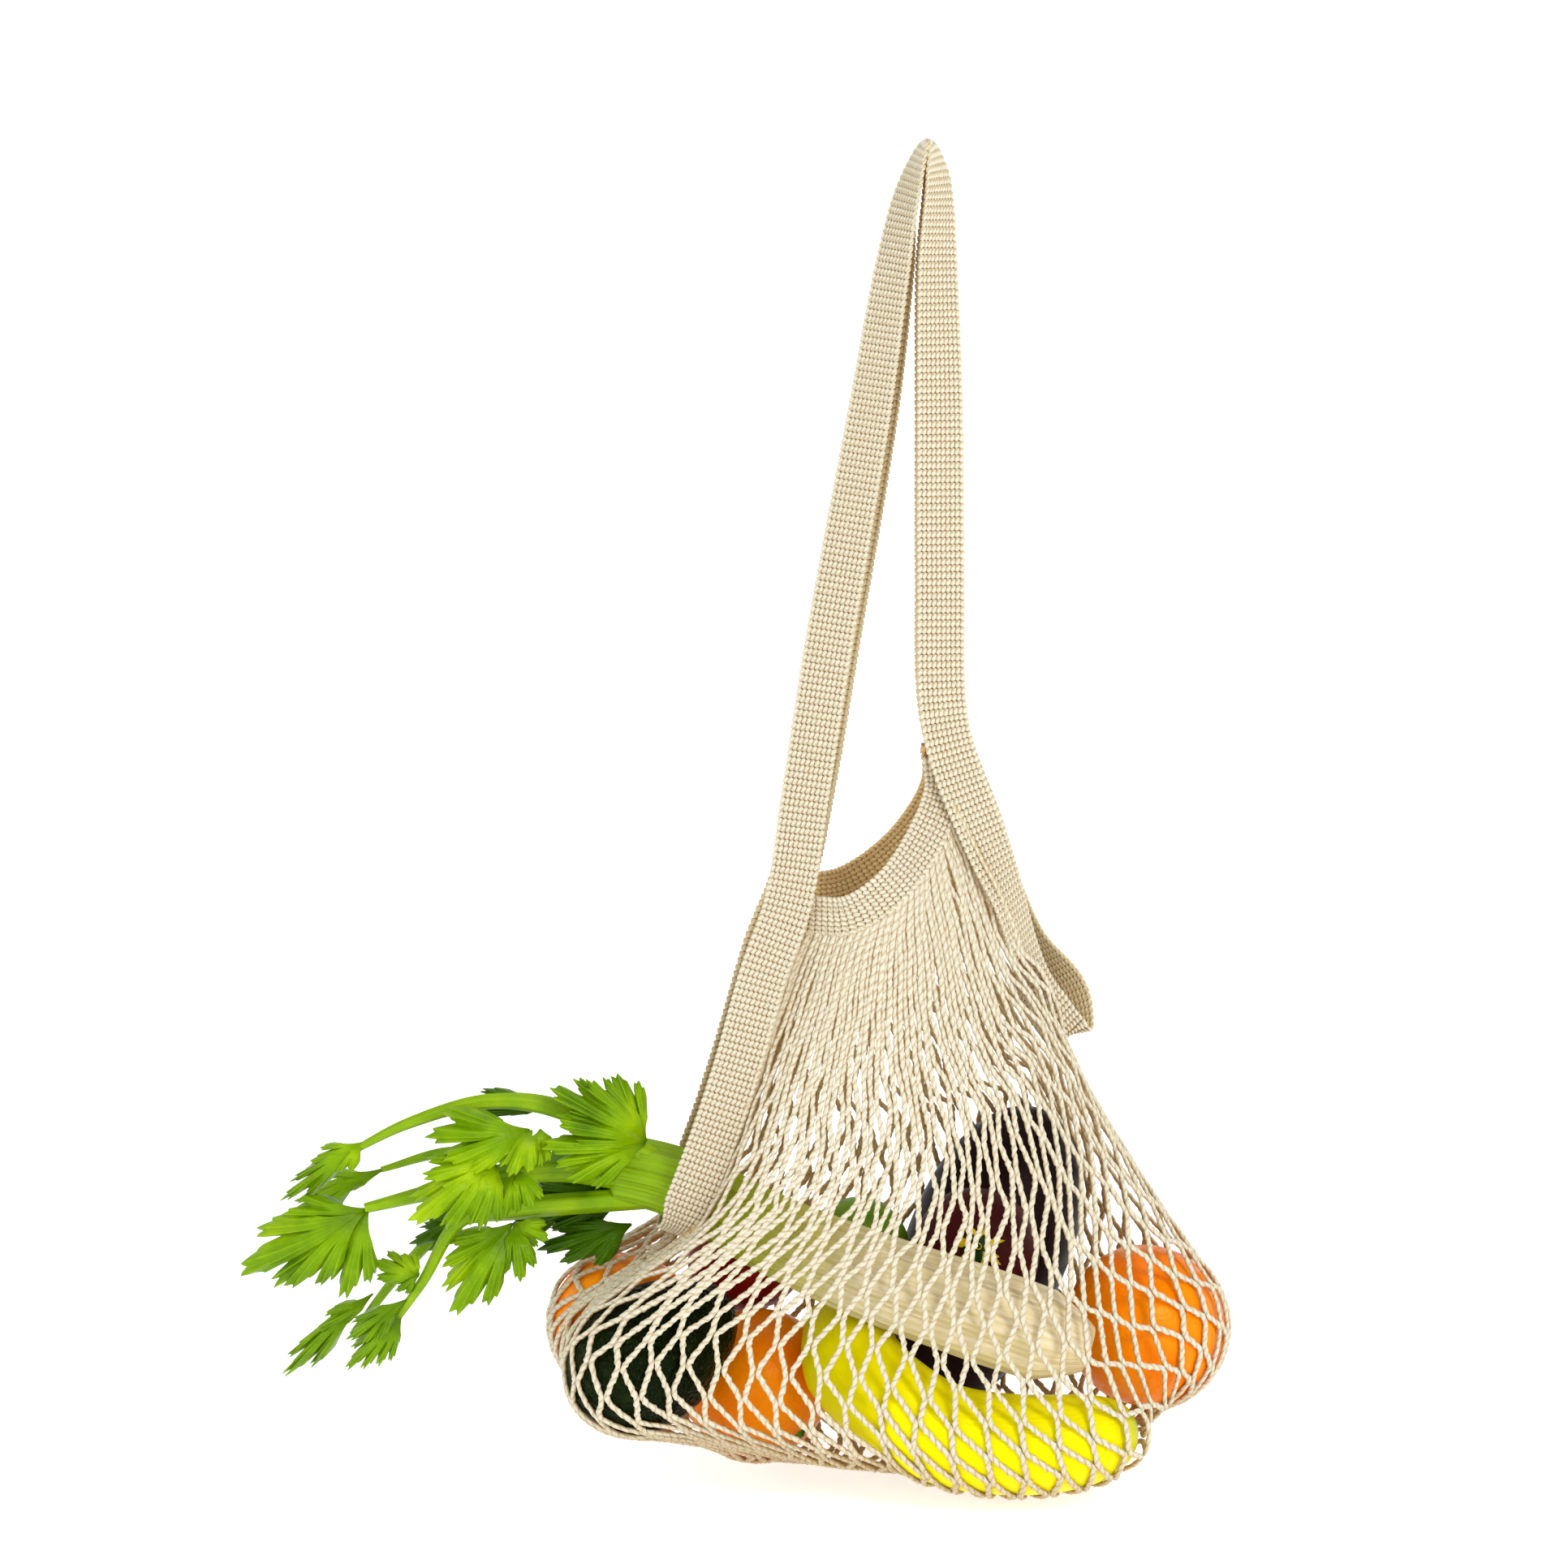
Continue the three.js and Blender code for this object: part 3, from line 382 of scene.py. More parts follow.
def to_frame(points):
    return (np.asarray(points, float) + SHIFT) * MM


# Meshes

def add_object(name, data):
    obj = bpy.data.objects.new(name, data)
    bpy.context.scene.collection.objects.link(obj)
    return obj


def add_mesh(name, points, faces, uvs):
    """Mesh object from points in millimetres, lists of equal-sided faces and uv pairs for their corners."""
    mesh = bpy.data.meshes.new(name)
    points = to_frame(points).reshape(-1, 3)
    corners = np.concatenate([f.ravel() for f in faces]).astype(np.int32)
    sizes = np.concatenate([np.full(len(f), f.shape[1]) for f in faces])
    starts = np.concatenate([[0], np.cumsum(sizes)[:-1]]).astype(np.int32)
    mesh.vertices.add(len(points))
    mesh.vertices.foreach_set("co", points.astype(np.float32).ravel())
    mesh.loops.add(len(corners))
    mesh.loops.foreach_set("vertex_index", corners)
    mesh.polygons.add(len(sizes))
    mesh.polygons.foreach_set("loop_start", starts)
    mesh.update(calc_edges=True)
    mesh.polygons.foreach_set("use_smooth", np.ones(len(sizes), bool))
    pairs = np.concatenate([u.reshape(-1, 2) for u in uvs]).astype(np.float32)
    mesh.uv_layers.new(name="UVMap").data.foreach_set("uv", pairs.ravel())
    mesh.validate()
    return add_object(name, mesh)


def show(obj, material, slot, *nodes):
    """Gives a piece its material and ties it to the part."""
    obj.data.materials.append(material)
    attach(obj, "root")
    if nodes:
        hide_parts(*nodes)


def corner_uvs(*corners):
    """Uv pairs of faces, from the u and v of each corner."""
    return np.stack([np.stack(corner, -1) for corner in corners], -2)


def grid_quads(at, row, next_row, column, next_column):
    """Quads of a grid whose points are numbered by at(row, column)."""
    corners = ((row, column), (row, next_column), (next_row, next_column), (next_row, column))
    return np.stack([at(*corner) for corner in corners], -1).reshape(-1, 4)


def rings_round(line, side, face, wide, deep, turn):
    """Rings of points round a line, at the given half widths and depths."""
    return (line[:, None] + side[:, None] * (wide * np.cos(turn))[..., None]
            + face[:, None] * (deep * np.sin(turn))[..., None])


def body_faces(rings, sides):
    """Faces and uvs of a body closed by a point at each end: start point, rings of sides, end point."""
    ring, side = np.meshgrid(np.arange(rings - 1), np.arange(sides), indexing="ij")
    after = (side + 1) % sides
    at = lambda r, s: 1 + r * sides + s
    quads = grid_quads(at, ring, ring + 1, side, after)
    s = np.arange(sides)
    end = 1 + rings * sides
    tip = np.stack([np.full(sides, 0), at(0, (s + 1) % sides), at(0, s)], -1)
    tail = np.stack([np.full(sides, end), at(rings - 1, s), at(rings - 1, (s + 1) % sides)], -1)
    u0, u1 = side / sides, (side + 1) / sides
    v0, v1 = (ring + 1) / (rings + 1), (ring + 2) / (rings + 1)
    quad_uv = corner_uvs((u0, v0), (u1, v0), (u1, v1), (u0, v1))
    mid, low, high = (s + 0.5) / sides, s / sides, (s + 1) / sides
    edge = np.full(sides, 1 / (rings + 1))
    tip_uv = corner_uvs((mid, 0 * s), (high, edge), (low, edge))
    tail_uv = corner_uvs((mid, 0 * s + 1), (low, 1 - edge), (high, 1 - edge))
    return [quads, tip, tail], [quad_uv, tip_uv, tail_uv]


def spine_points(spine, radius_at, rings, sides, lobe):
    """Rings round a bent spine, crowded toward its ends."""
    t = (1 - np.cos(np.pi * np.arange(1, rings + 1) / (rings + 1))) / 2
    centre = catmull(spine, t)
    along = unit(catmull(spine, np.minimum(1, t + 1e-3)) - catmull(spine, np.maximum(0, t - 1e-3)))
    across = unit(np.cross((0, 1, 0), along))
    over = np.cross(along, across)
    turn = 2 * np.pi * np.arange(sides) / sides
    radius = radius_at(t)[:, None] * lobe(turn[None, :], t[:, None])
    ring = rings_round(centre, across, over, radius, radius, turn)
    ends = catmull(spine, np.array([0.0, 1.0]))
    return np.concatenate([ends[:1], ring.reshape(-1, 3), ends[1:]])


def turn_to(axis):
    """Rotation that carries +Y onto the axis by the shortest way."""
    axis = unit(axis)
    v = np.cross((0, 1, 0), axis)
    skew = np.array([[0, -v[2], v[1]], [v[2], 0, -v[0]], [-v[1], v[0], 0]])
    return np.eye(3) + skew + skew @ skew / (1 + axis[1])


def turned_points(outline, centre, axis, rings, sides, relief):
    """Turned fruit from an outline function of the angle from its bottom (0) to its top (pi)."""
    angle = np.pi * np.arange(0, rings + 2) / (rings + 1)
    x, y = outline(angle)
    turn = 2 * np.pi * np.arange(sides) / sides
    ring = np.stack([x[1:-1, None] * np.sin(turn), np.repeat(y[1:-1, None], sides, 1),
                     x[1:-1, None] * np.cos(turn)], -1)
    local = np.concatenate([[(0, y[0], 0)], ring.reshape(-1, 3), [(0, y[-1], 0)]])
    local += unit(local) * np.array([relief(p) for p in local])[:, None]
    return np.array(centre, float) + local @ turn_to(axis).T


def round_outline(radius, tallness, top_dimple, bottom_dimple):
    height = tallness * radius

    def outline(angle):
        x = radius * np.sin(angle)
        near = np.exp(-((x / (radius * 0.28)) ** 2))
        y = -height * np.cos(angle) + near * np.where(angle > np.pi / 2, -top_dimple, bottom_dimple)
        return x, y
    return outline


def pear_outline(length, radius, fullness):
    def outline(angle):
        along = -np.cos(angle) / 2
        return radius * np.sin(angle) * (1 - fullness * (along + 0.18)), along * length
    return outline


def lumps(size, height, seed):
    """Low uneven relief for a fruit's skin."""
    def relief(p):
        q = Vector(p) / size + Vector((seed, 2 * seed, 3 * seed))
        return height * noise.noise(q) + 0.4 * height * noise.noise(q * 2.3)
    return relief


def banana_radius(t):
    return BANANA_R * np.minimum(1, np.sqrt(4.5 * t + 0.25)) * np.sqrt(np.maximum(0, 1 - t ** 9))


def celery_radius(t):
    body = mix(CELERY_R, 14.5, smooth(0.05, 0.95, t))
    return body * np.minimum(1, np.sqrt(9 * t + 0.25)) * np.minimum(1, np.sqrt(30 * (1 - t)))


# Load: balls that fill the contents, for the net to lie on

def load_balls():
    """Centres and radii of the balls, and which of them the net's hull leaves out."""
    balls = [(centre, radius * max(1, form[0]), False)
             for radius, centre, _, form, _ in ROUND_FRUIT.values()]
    for (length, radius, fullness), centre, axis, _ in PEARS.values():
        x, y = pear_outline(length, radius, fullness)(np.linspace(0, np.pi, 120))
        for k in np.linspace(0.05, 0.95, 24):
            place = mix(-length / 2, length / 2, k)
            balls.append((np.array(centre) + unit(axis) * place, np.hypot(x, y - place).min(), False))
    for spine, radius_at, low, high, wide in (
            (BANANA_SPINE, banana_radius, 0.02, 0.99, 1), (CELERY_SPINE, celery_radius, 0.03, 0.97, 1.06)):
        for t in np.linspace(low, high, 45):
            at = np.array([t])
            free = spine is CELERY_SPINE and t > 0.5
            balls.append((catmull(spine, at)[0], radius_at(at)[0] * wide, free))
    centres, radii, loose = zip(*balls)
    return np.array(centres, float), np.array(radii, float), np.array(loose)


BALLS, BALL_RADII, LOOSE = load_balls()


def push_from_balls(points, gap):
    """Moves points out of the load along the way out of the ball that they lie deepest in."""
    flat = points.reshape(-1, 3)
    for _ in range(3):
        square = (flat ** 2).sum(1)[:, None] + (BALLS ** 2).sum(1) - 2 * flat @ BALLS.T
        depth = BALL_RADII + gap - np.sqrt(np.maximum(1e-9, square))
        worst = depth.argmax(1)
        deep = np.maximum(0, depth[np.arange(len(flat)), worst])
        flat += unit(flat - BALLS[worst]) * deep[:, None]
    return flat.reshape(points.shape)


# Net

def net_edges(back):
    """Lines that one face of the net hangs from: the hem from left to right, and both bands downwards."""
    def edge(stations, width, laps):
        laps = np.zeros(len(stations)) if back else np.array(laps, float)
        inward = width / 2 - RIM_INSET - laps
        middle, sides = station_points(stations, back), station_sides(stations, back)
        face = unit(np.cross(np.gradient(middle, axis=0), sides))
        outward = -face * np.sign(face[:, 1:2])
        over = (laps > 0) * (BAND_THICKNESS / 2 + CORD_HALF_DEPTH)
        return middle + sides * inward[:, None] + outward * over[:, None]

    def places(line, shares):
        times = even_times(line, 1.0)
        return catmull(line, np.interp(shares, np.linspace(0, 1, len(times)), times))

    left = edge(STRAP[LEFT_BAND], BAND_WIDTH, LEFT_LAPS)
    right = edge(STRAP[RIGHT_BAND][::-1], BAND_WIDTH, RIGHT_LAPS)
    hem = edge(HEM, HEM_WIDTH, np.zeros(len(HEM)))
    left[0, 2] -= FOLD_DROP
    right[0, 2] -= FOLD_DROP
    return (places(hem, np.linspace(*HEM_SPAN, COLUMNS + 1)),
            places(left, np.linspace(LEFT_SPAN, 0, LEFT_ROWS + 1)),
            places(right, np.linspace(RIGHT_SPAN, 0, RIGHT_ROWS + 1)))


def keep_inside(points):
    """Keeps net points on the inner side of the side bands, above the folds they end in."""
    for stations, laps, sign in (
            (STRAP[LEFT_BAND], LEFT_LAPS, 1), (STRAP[RIGHT_BAND][::-1], RIGHT_LAPS, -1)):
        edges = [(s[0] + s[4][0] * (BAND_WIDTH / 2 - lap), s[1] + s[4][2] * (BAND_WIDTH / 2 - lap))
                 for s, lap in zip(stations, laps)]
        for k, ((low_x, low), (high_x, high)) in enumerate(zip(edges, edges[1:])):
            z = points[..., 2]
            within = (z >= low - (FOLD_DROP if k == 0 else 0)) & (z <= high)
            t = np.maximum(0, (z - low) / (high - low))
            short = np.maximum(0, (mix(low_x, high_x, t) - points[..., 0]) * sign)
            points[..., 0] += sign * np.where(within, short, 0)


def respaced(line, shares, fall=1.0):
    """The line's points moved along it to the given shares of its length, with its fall counted in part."""
    parts = np.diff(line, axis=0) * (1, 1, fall)
    run = sums_of(np.linalg.norm(parts, axis=1))
    return at_runs(shares * run[-1], run, line)


def net_hull():
    """Directions spread evenly all round, and how far the load reaches in each."""
    k = np.arange(HULL_DIRECTIONS)
    height = 1 - (2 * k + 1) / HULL_DIRECTIONS
    turn = k * np.pi * (3 - math.sqrt(5))
    flat = np.sqrt(1 - height ** 2)
    ways = np.stack([flat * np.cos(turn), flat * np.sin(turn), height], -1)
    return ways, (ways @ BALLS[~LOOSE].T + BALL_RADII[~LOOSE]).max(1)


def lay_net():
    """Points of the net's front and back, rows from hem to bottom seam by columns from left to right."""
    edges = [net_edges(back) for back in (False, True)]
    ways, reach = net_hull()
    v = np.linspace(0, 1, ROWS + 1)[:, None]
    turn = np.pi * np.arange(COLUMNS + 1) / COLUMNS
    apart = (np.arange(COLUMNS) + 0.5) / COLUMNS
    shares = shares_of(mix(LEFT_PITCH, 1, smooth(0, 0.25, apart)))
    seam_x = np.linspace(-SEAM_REACH, SEAM_REACH, COLUMNS + 1)
    under = ways[:, 2] < -0.05
    seam_z = ((reach + NET_GAP - np.outer(seam_x, ways[:, 0]) - SEAM_Y * ways[:, 1])[:, under]
              / ways[under, 2]).max(1)
    seam = np.stack([seam_x, np.full(COLUMNS + 1, SEAM_Y), seam_z], -1)
    swell = np.sin(np.pi * v) ** 0.6
    net = np.stack([hem * (1 - v[..., None]) + seam * v[..., None] for hem, _, _ in edges])
    net[..., 0] -= START_ACROSS * swell * np.cos(turn)
    net[..., 1] += START_DEPTHS[:, None, None] * swell * np.sin(turn)

    def pin():
        for face, (hem, left, right) in zip(net, edges):
            face[0], face[-1] = hem, seam
            face[:LEFT_ROWS + 1, 0] = left
            face[:RIGHT_ROWS + 1, -1] = right
        for below, column in ((LEFT_ROWS + 1, 0), (RIGHT_ROWS + 1, -1)):
            net[:, below:, column] = net[:, below:, column].mean(0)

    def push_out(points, sink):
        flat = points.reshape(-1, 3)
        out = flat @ ways.T - reach
        face = out.argmax(1)
        short = np.maximum(0, NET_GAP - sink - out[np.arange(len(flat)), face])
        flat += ways[face] * short[:, None]
        if sink > 0:
            flat = push_from_balls(flat, NET_GAP)
        return flat.reshape(points.shape)

    def space_out():
        pitch = np.linalg.norm(np.gradient(net, axis=2), axis=-1)
        length = np.linalg.norm(np.diff(net, axis=1), axis=-1).sum(1, keepdims=True)
        opened = (pitch[:, 1:] + pitch[:, :-1]) / 2 / (CORD_SLACK * length / ROWS)
        opened = np.minimum(MOST_OPENED, opened)
        for face, steps in zip(net, np.sqrt(1 - opened ** 2)):
            for c in range(1, COLUMNS):
                face[:, c] = respaced(face[:, c], shares_of(steps[:, c]))
            for c, first in ((0, LEFT_ROWS), (-1, RIGHT_ROWS)):
                face[first:, c] = respaced(face[first:, c], np.linspace(0, 1, ROWS + 1 - first))
            for row in range(1, ROWS):
                fall = mix(*FALL_SHARES, smooth(*FALL_ROWS, row / ROWS))
                face[row] = respaced(face[row], shares, fall)

    pin()
    for step in range(WRAPPING_STEPS + SINKING_STEPS):
        sink = SINK_DEPTH * max(0, step - WRAPPING_STEPS) / SINKING_STEPS
        round_about = np.concatenate([net[::-1, :, 1:2], net, net[::-1, :, -2:-1]], 2)
        hoop = HOOP_PULL * (round_about[:, 1:-1, :-2] + round_about[:, 1:-1, 2:])
        body = push_out((net[:, :-2] + net[:, 2:] + hoop) / (2 + 2 * HOOP_PULL), sink)
        keep_inside(body)
        net[:, 1:-1] = body
        pin()
        if (step + 1) % SPACING_STEPS == 0:
            space_out()
            pin()
    net[:, 1:-1] = push_out(net[:, 1:-1], SINK_DEPTH)
    pin()
    return net


def net_strands():
    """Middle lines and outward directions of the net's cords, which swing from joint to joint."""
    net = lay_net()
    across = np.gradient(net, axis=2)
    pitch = np.linalg.norm(across, axis=-1)
    across = unit(across)
    down = unit(np.gradient(net, axis=1))
    outward = unit(np.cross(down, across) + 1e-6) * np.array([1, -1])[:, None, None, None]
    k = np.arange(COLUMNS)
    strands = []
    for f in range(2):
        nodes, normals = [], []
        for row in range(ROWS + 1):
            own = k % 2 == row % 2
            c = np.where(own, k, k + 1)
            side = np.where(own, 1.0, -1.0)[:, None]
            spot = net[f, row, c] + side * across[f, row, c] * CORD_HALF_WIDTH * JOINT_GAP
            crowd = np.clip(1.25 - pitch[f, row, c] / 4, 0, 1)[:, None] * (k % 2)[:, None]
            spot = spot - outward[f, row, c] * crowd * CROWD_DROP
            loose = 0.0 if row in (0, ROWS) else mix(1, LOW_STRAY, smooth(*STRAY_ROWS, row / ROWS))
            spot = spot + down[f, row, c] * rng.normal(0, JOINT_STRAY * loose, COLUMNS + 1)[c][:, None]
            aside = rng.normal(0, loose, COLUMNS + 1) * np.minimum(0.25 * pitch[f, row], ASIDE_STRAY)
            spot = spot + across[f, row, c] * aside[c][:, None]
            run = down[f, row, c] * JOINT_RUN
            nodes += [spot - run * (row > 0), spot + run * (row < ROWS)]
            normals += [outward[f, row, c]] * 2
        strands += zip(np.stack(nodes, 1), np.stack(normals, 1))
    lines, ways = [], []
    for strand, normal in strands:
        run = run_along(strand)
        wanted = np.linspace(0, run[-1], max(2, int(round(run[-1] / STITCH_STEP))))
        line = at_runs(wanted, run, strand)
        for _ in range(2):
            line[1:-1] = (line[:-2] + 2 * line[1:-1] + line[2:]) / 4
        lines.append(push_from_balls(line, CORD_HALF_DEPTH + CORD_LIFT))
        ways.append(at_runs(wanted, run, normal))
    return lines, ways


def cord_points(line, normal, half_widths, half_depths, sides):
    """Tube of the given half widths and depths round a line."""
    along = unit(np.gradient(line, axis=0))
    side = unit(np.cross(along, normal))
    face = np.cross(side, along)
    turn = 2 * np.pi * (np.arange(sides) + 0.5) / sides
    return rings_round(line, side, face, half_widths[:, None], half_depths[:, None], turn)


def tube_faces(rings, sides, first, closed=False):
    """Faces and uvs of a tube, joined end to end or shut by a flat face at each end."""
    ring, side = np.meshgrid(np.arange(rings if closed else rings - 1), np.arange(sides), indexing="ij")
    ahead, after = (ring + 1) % rings, (side + 1) % sides
    at = lambda r, s: first + r * sides + s
    quads = grid_quads(at, ring, ahead, side, after)
    u0, u1 = side / sides, (side + 1) / sides
    uv = corner_uvs((u0, ring), (u1, ring), (u1, ring + 1), (u0, ring + 1))
    ends = np.stack([at(0, np.arange(sides)[::-1]), at(rings - 1, np.arange(sides))])
    return quads, uv.reshape(-1, 4, 2), ends


def cords_object(name, cords, sides, closed=False):
    """One object of many cords, each (line, normal, half widths, half depths)."""
    points, quads, uvs, ends, first = [], [], [], [], 0
    for line, normal, wide, deep in cords:
        points.append(cord_points(line, normal, wide, deep, sides).reshape(-1, 3))
        quad, uv, end = tube_faces(len(line), sides, first, closed)
        uv[..., 1] += 0 if closed else rng.uniform(0, 12)
        quads.append(quad)
        uvs.append(uv)
        ends.append(end)
        first += len(line) * sides
    faces, pairs = [np.concatenate(quads)], [np.concatenate(uvs)]
    if not closed:
        faces.append(np.concatenate(ends))
        pairs.append(np.zeros((len(faces[1]), sides, 2)))
    return add_mesh(name, np.concatenate(points), faces, pairs)


def add_net(material):
    lines, ways = net_strands()
    cords = []
    for line, way in zip(lines, ways):
        place = np.arange(len(line))
        uneven = 1 + rng.normal(0, CORD_UNEVENNESS, len(line))
        uneven *= mix(LOW_CORD_SCALE, 1, smooth(*LOW_CORD_HEIGHTS, line[:, 2]))
        wide = np.array(STITCH_WIDTHS)[place % 2] * CORD_HALF_WIDTH * uneven
        deep = np.array(STITCH_DEPTHS)[place % 2] * CORD_HALF_DEPTH * uneven
        across = unit(np.cross(unit(np.gradient(line, axis=0)), way))
        sway = STITCH_SWAY * np.where(place % 4 < 2, 1.0, -1.0) * uneven
        cords.append((line + across * sway[:, None], way, wide, deep))
    share = len(cords) // NET_PIECES
    for k in range(NET_PIECES):
        piece = cords_object(f"net_cords_{k + 1}", cords[k * share:(k + 1) * share], CORD_SIDES)
        show(piece, material, "net_cord", "net")


# Knitted bands

def fold_pinch(middle):
    """Share of a band's width that is left where it runs round the folds at its two lower ends."""
    left, right = (mix(least, 1, smooth(0, rise, middle[:, 2] - fold[1]))
                   for (least, rise), fold in ((LEFT_FOLD, STRAP[0]), (RIGHT_FOLD, STRAP[-1])))
    return np.where(middle[:, 0] < 0, left, right)


def stitch_times(centres, closed):
    """Curve times of every place in every knit row of a band, and the number of rows."""
    times = even_times(centres, KNIT_ROW, closed)
    rows = len(times) if closed else len(times) - 1
    ends = np.append(times, 1.0) if closed else times
    places = np.array([stitch[0] for stitch in KNIT_STITCH])
    return (ends[:-1, None] + np.diff(ends)[:, None] * places).ravel(), rows


def knit_cords(centres, sides, width, strands, closed):
    """Side-by-side knitted strands of a band that thin out between rows, so that small holes are left."""
    times, rows = stitch_times(centres, closed)
    middle, side, face = band_frames(centres, sides, times, closed)
    _, widths, depths = (np.tile(v, rows) for v in zip(*KNIT_STITCH))
    pitch = width / strands * (fold_pinch(middle) if closed else 1)
    lean = np.tile(STITCH_LEANS, rows)
    cords = []
    for k in range(strands):
        edge = k in (0, strands - 1)
        uneven = 1 + rng.normal(0, STRAND_UNEVENNESS, len(times))
        wide = pitch * STRAND_FULLNESS * widths * uneven * (EDGE_STRAND_SCALE if edge else 1)
        deep = BAND_THICKNESS / 2 * depths * uneven
        offset = (k - (strands - 1) / 2 + lean) * pitch
        cords.append((middle + side * offset[:, None], face, wide, deep))
    return cords


def core_cord(centres, sides, width, closed):
    """Thin sheet inside a band that closes the holes between its stitches; its dark material is painted
    shade seen through the holes.
    """
    times = even_times(centres, CORE_STEP, closed)
    middle, _, face = band_frames(centres, sides, times, closed)
    wide = CORE_SHARE * width / math.sqrt(2) * (fold_pinch(middle) if closed else np.ones(len(middle)))
    return [(middle, face, wide, np.full(len(middle), CORE_THICKNESS / math.sqrt(2)))]


def add_bands(material, back_material, shade):
    strap = knit_cords(*strap_line(), BAND_WIDTH, BAND_STRANDS, True)
    half = BAND_STRANDS // 2
    for name, cords in (("strap_knit_outer", strap[:half]), ("strap_knit_inner", strap[half:])):
        show(cords_object(name, cords, CORD_SIDES, True), material, "band_knit", "strap_band")
    # The core sheet carries the painted shade of the knit's holes.
    core = core_cord(*strap_line(), BAND_WIDTH, True)
    show(cords_object("strap_core", core, CORE_SIDES, True), shade, "band_knit", "strap_band")
    for name, back in (("hem_front", False), ("hem_back", True)):
        line = (station_points(HEM, back), station_sides(HEM, back))
        cords = knit_cords(*line, HEM_WIDTH, HEM_STRANDS, False)
        facing = back_material if back else material
        show(cords_object(name + "_knit", cords, CORD_SIDES), facing, "band_knit", name)
        core = core_cord(*line, HEM_WIDTH, False)
        show(cords_object(name + "_core", core, CORE_SIDES), shade, "band_knit", name)


# Materials

def srgb(r, g, b):
    """Linear colour from 0 to 255 display values."""
    linear = (((c / 255 + 0.055) / 1.055) ** 2.4 if c > 10 else c / 255 / 12.92 for c in (r, g, b))
    return *linear, 1.0


WHITE = srgb(255, 255, 255)


class Shader:
    """A principled material with small helpers for its procedural inputs."""

    def __init__(self, name, roughness, **sockets):
        self.material = bpy.data.materials.new(name)
        self.material.use_nodes = True
        self.tree = self.material.node_tree
        self.bsdf = self.tree.nodes["Principled BSDF"]
        for key, value in {"Roughness": roughness, **sockets}.items():
            self.put(self.bsdf.inputs[key.replace("_", " ")], value)
        self.coords = self.node("TexCoord")

    def put(self, socket, value):
        """Gives a socket a fixed value or another node's output."""
        if isinstance(value, bpy.types.NodeSocket):
            self.tree.links.new(value, socket)
        else:
            socket.default_value = value

    def node(self, kind, **inputs):
        node = self.tree.nodes.new("ShaderNode" + kind)
        for key, value in inputs.items():
            self.put(node.inputs[key], value)
        return node

    def noise(self, scale, detail=3, coords="Object", stretch=None):
        place = self.coords.outputs[coords]
        if stretch is not None:
            place = self.node("Mapping", Vector=place, Scale=stretch).outputs["Vector"]
        return self.node("TexNoise", Vector=place, Scale=scale, Detail=detail).outputs["Fac"]

    def cells(self, scale):
        place = self.coords.outputs["Object"]
        return self.node("TexVoronoi", Vector=place, Scale=scale).outputs["Distance"]

    def uv(self, axis):
        """The way across a body (X) or along it (Y), from its uv map."""
        return self.node("SeparateXYZ", Vector=self.coords.outputs["UV"]).outputs[axis]

    def math(self, operation, a, b):
        node = self.node("Math")
        node.operation = operation
        self.put(node.inputs[0], a)
        self.put(node.inputs[1], b)
        return node.outputs["Value"]

    def plies(self, rings):
        """Two plies twisted round a cord, one turn in a number of its rings: 0 and 1 are grooves."""
        turned = self.math("DIVIDE", self.uv("Y"), rings)
        wound = self.math("MULTIPLY", self.uv("X"), 2.0)
        return self.math("FRACT", self.math("ADD", turned, wound), 0)

    def veins(self, count):
        """How far a point of a leaflet lies from the nearest of its veins, 0 to 0.5."""
        place = self.math("MULTIPLY", self.uv("X"), count)
        return self.math("PINGPONG", self.math("ADD", place, 0.5), 0.5)

    def openness(self, distance):
        """How freely light reaches a point, 0 in deep hollows to 1 in the open."""
        node = self.node("AmbientOcclusion", Distance=distance)
        node.samples = 4
        return self.ramp(node.outputs["AO"], (0.3, (0, 0, 0, 1)), (0.8, (1, 1, 1, 1)))

    def ramp(self, source, *stops):
        node = self.node("ValToRGB", Fac=source)
        elements = node.color_ramp.elements
        while len(elements) < len(stops):
            elements.new(0.5)
        for element, (place, colour) in zip(elements, stops):
            element.position = place
            element.color = colour
        return node.outputs["Color"]

    def blend(self, factor, a, b, mode="MIX"):
        node = self.node("Mix")
        node.data_type = "RGBA"
        node.blend_type = mode
        for key, value in (("Factor", factor), ("A", a), ("B", b)):
            self.put(node.inputs[key], value)
        return node.outputs["Result"]

    def colour(self, source):
        self.put(self.bsdf.inputs["Base Color"], source)

    def bump(self, source, strength, distance):
        """Adds relief on top of what the normal already has."""
        normal = self.bsdf.inputs["Normal"]
        node = self.node("Bump", Strength=strength, Distance=distance, Height=source)
        if normal.links:
            self.put(node.inputs["Normal"], normal.links[0].from_socket)
        self.put(normal, node.outputs["Normal"])


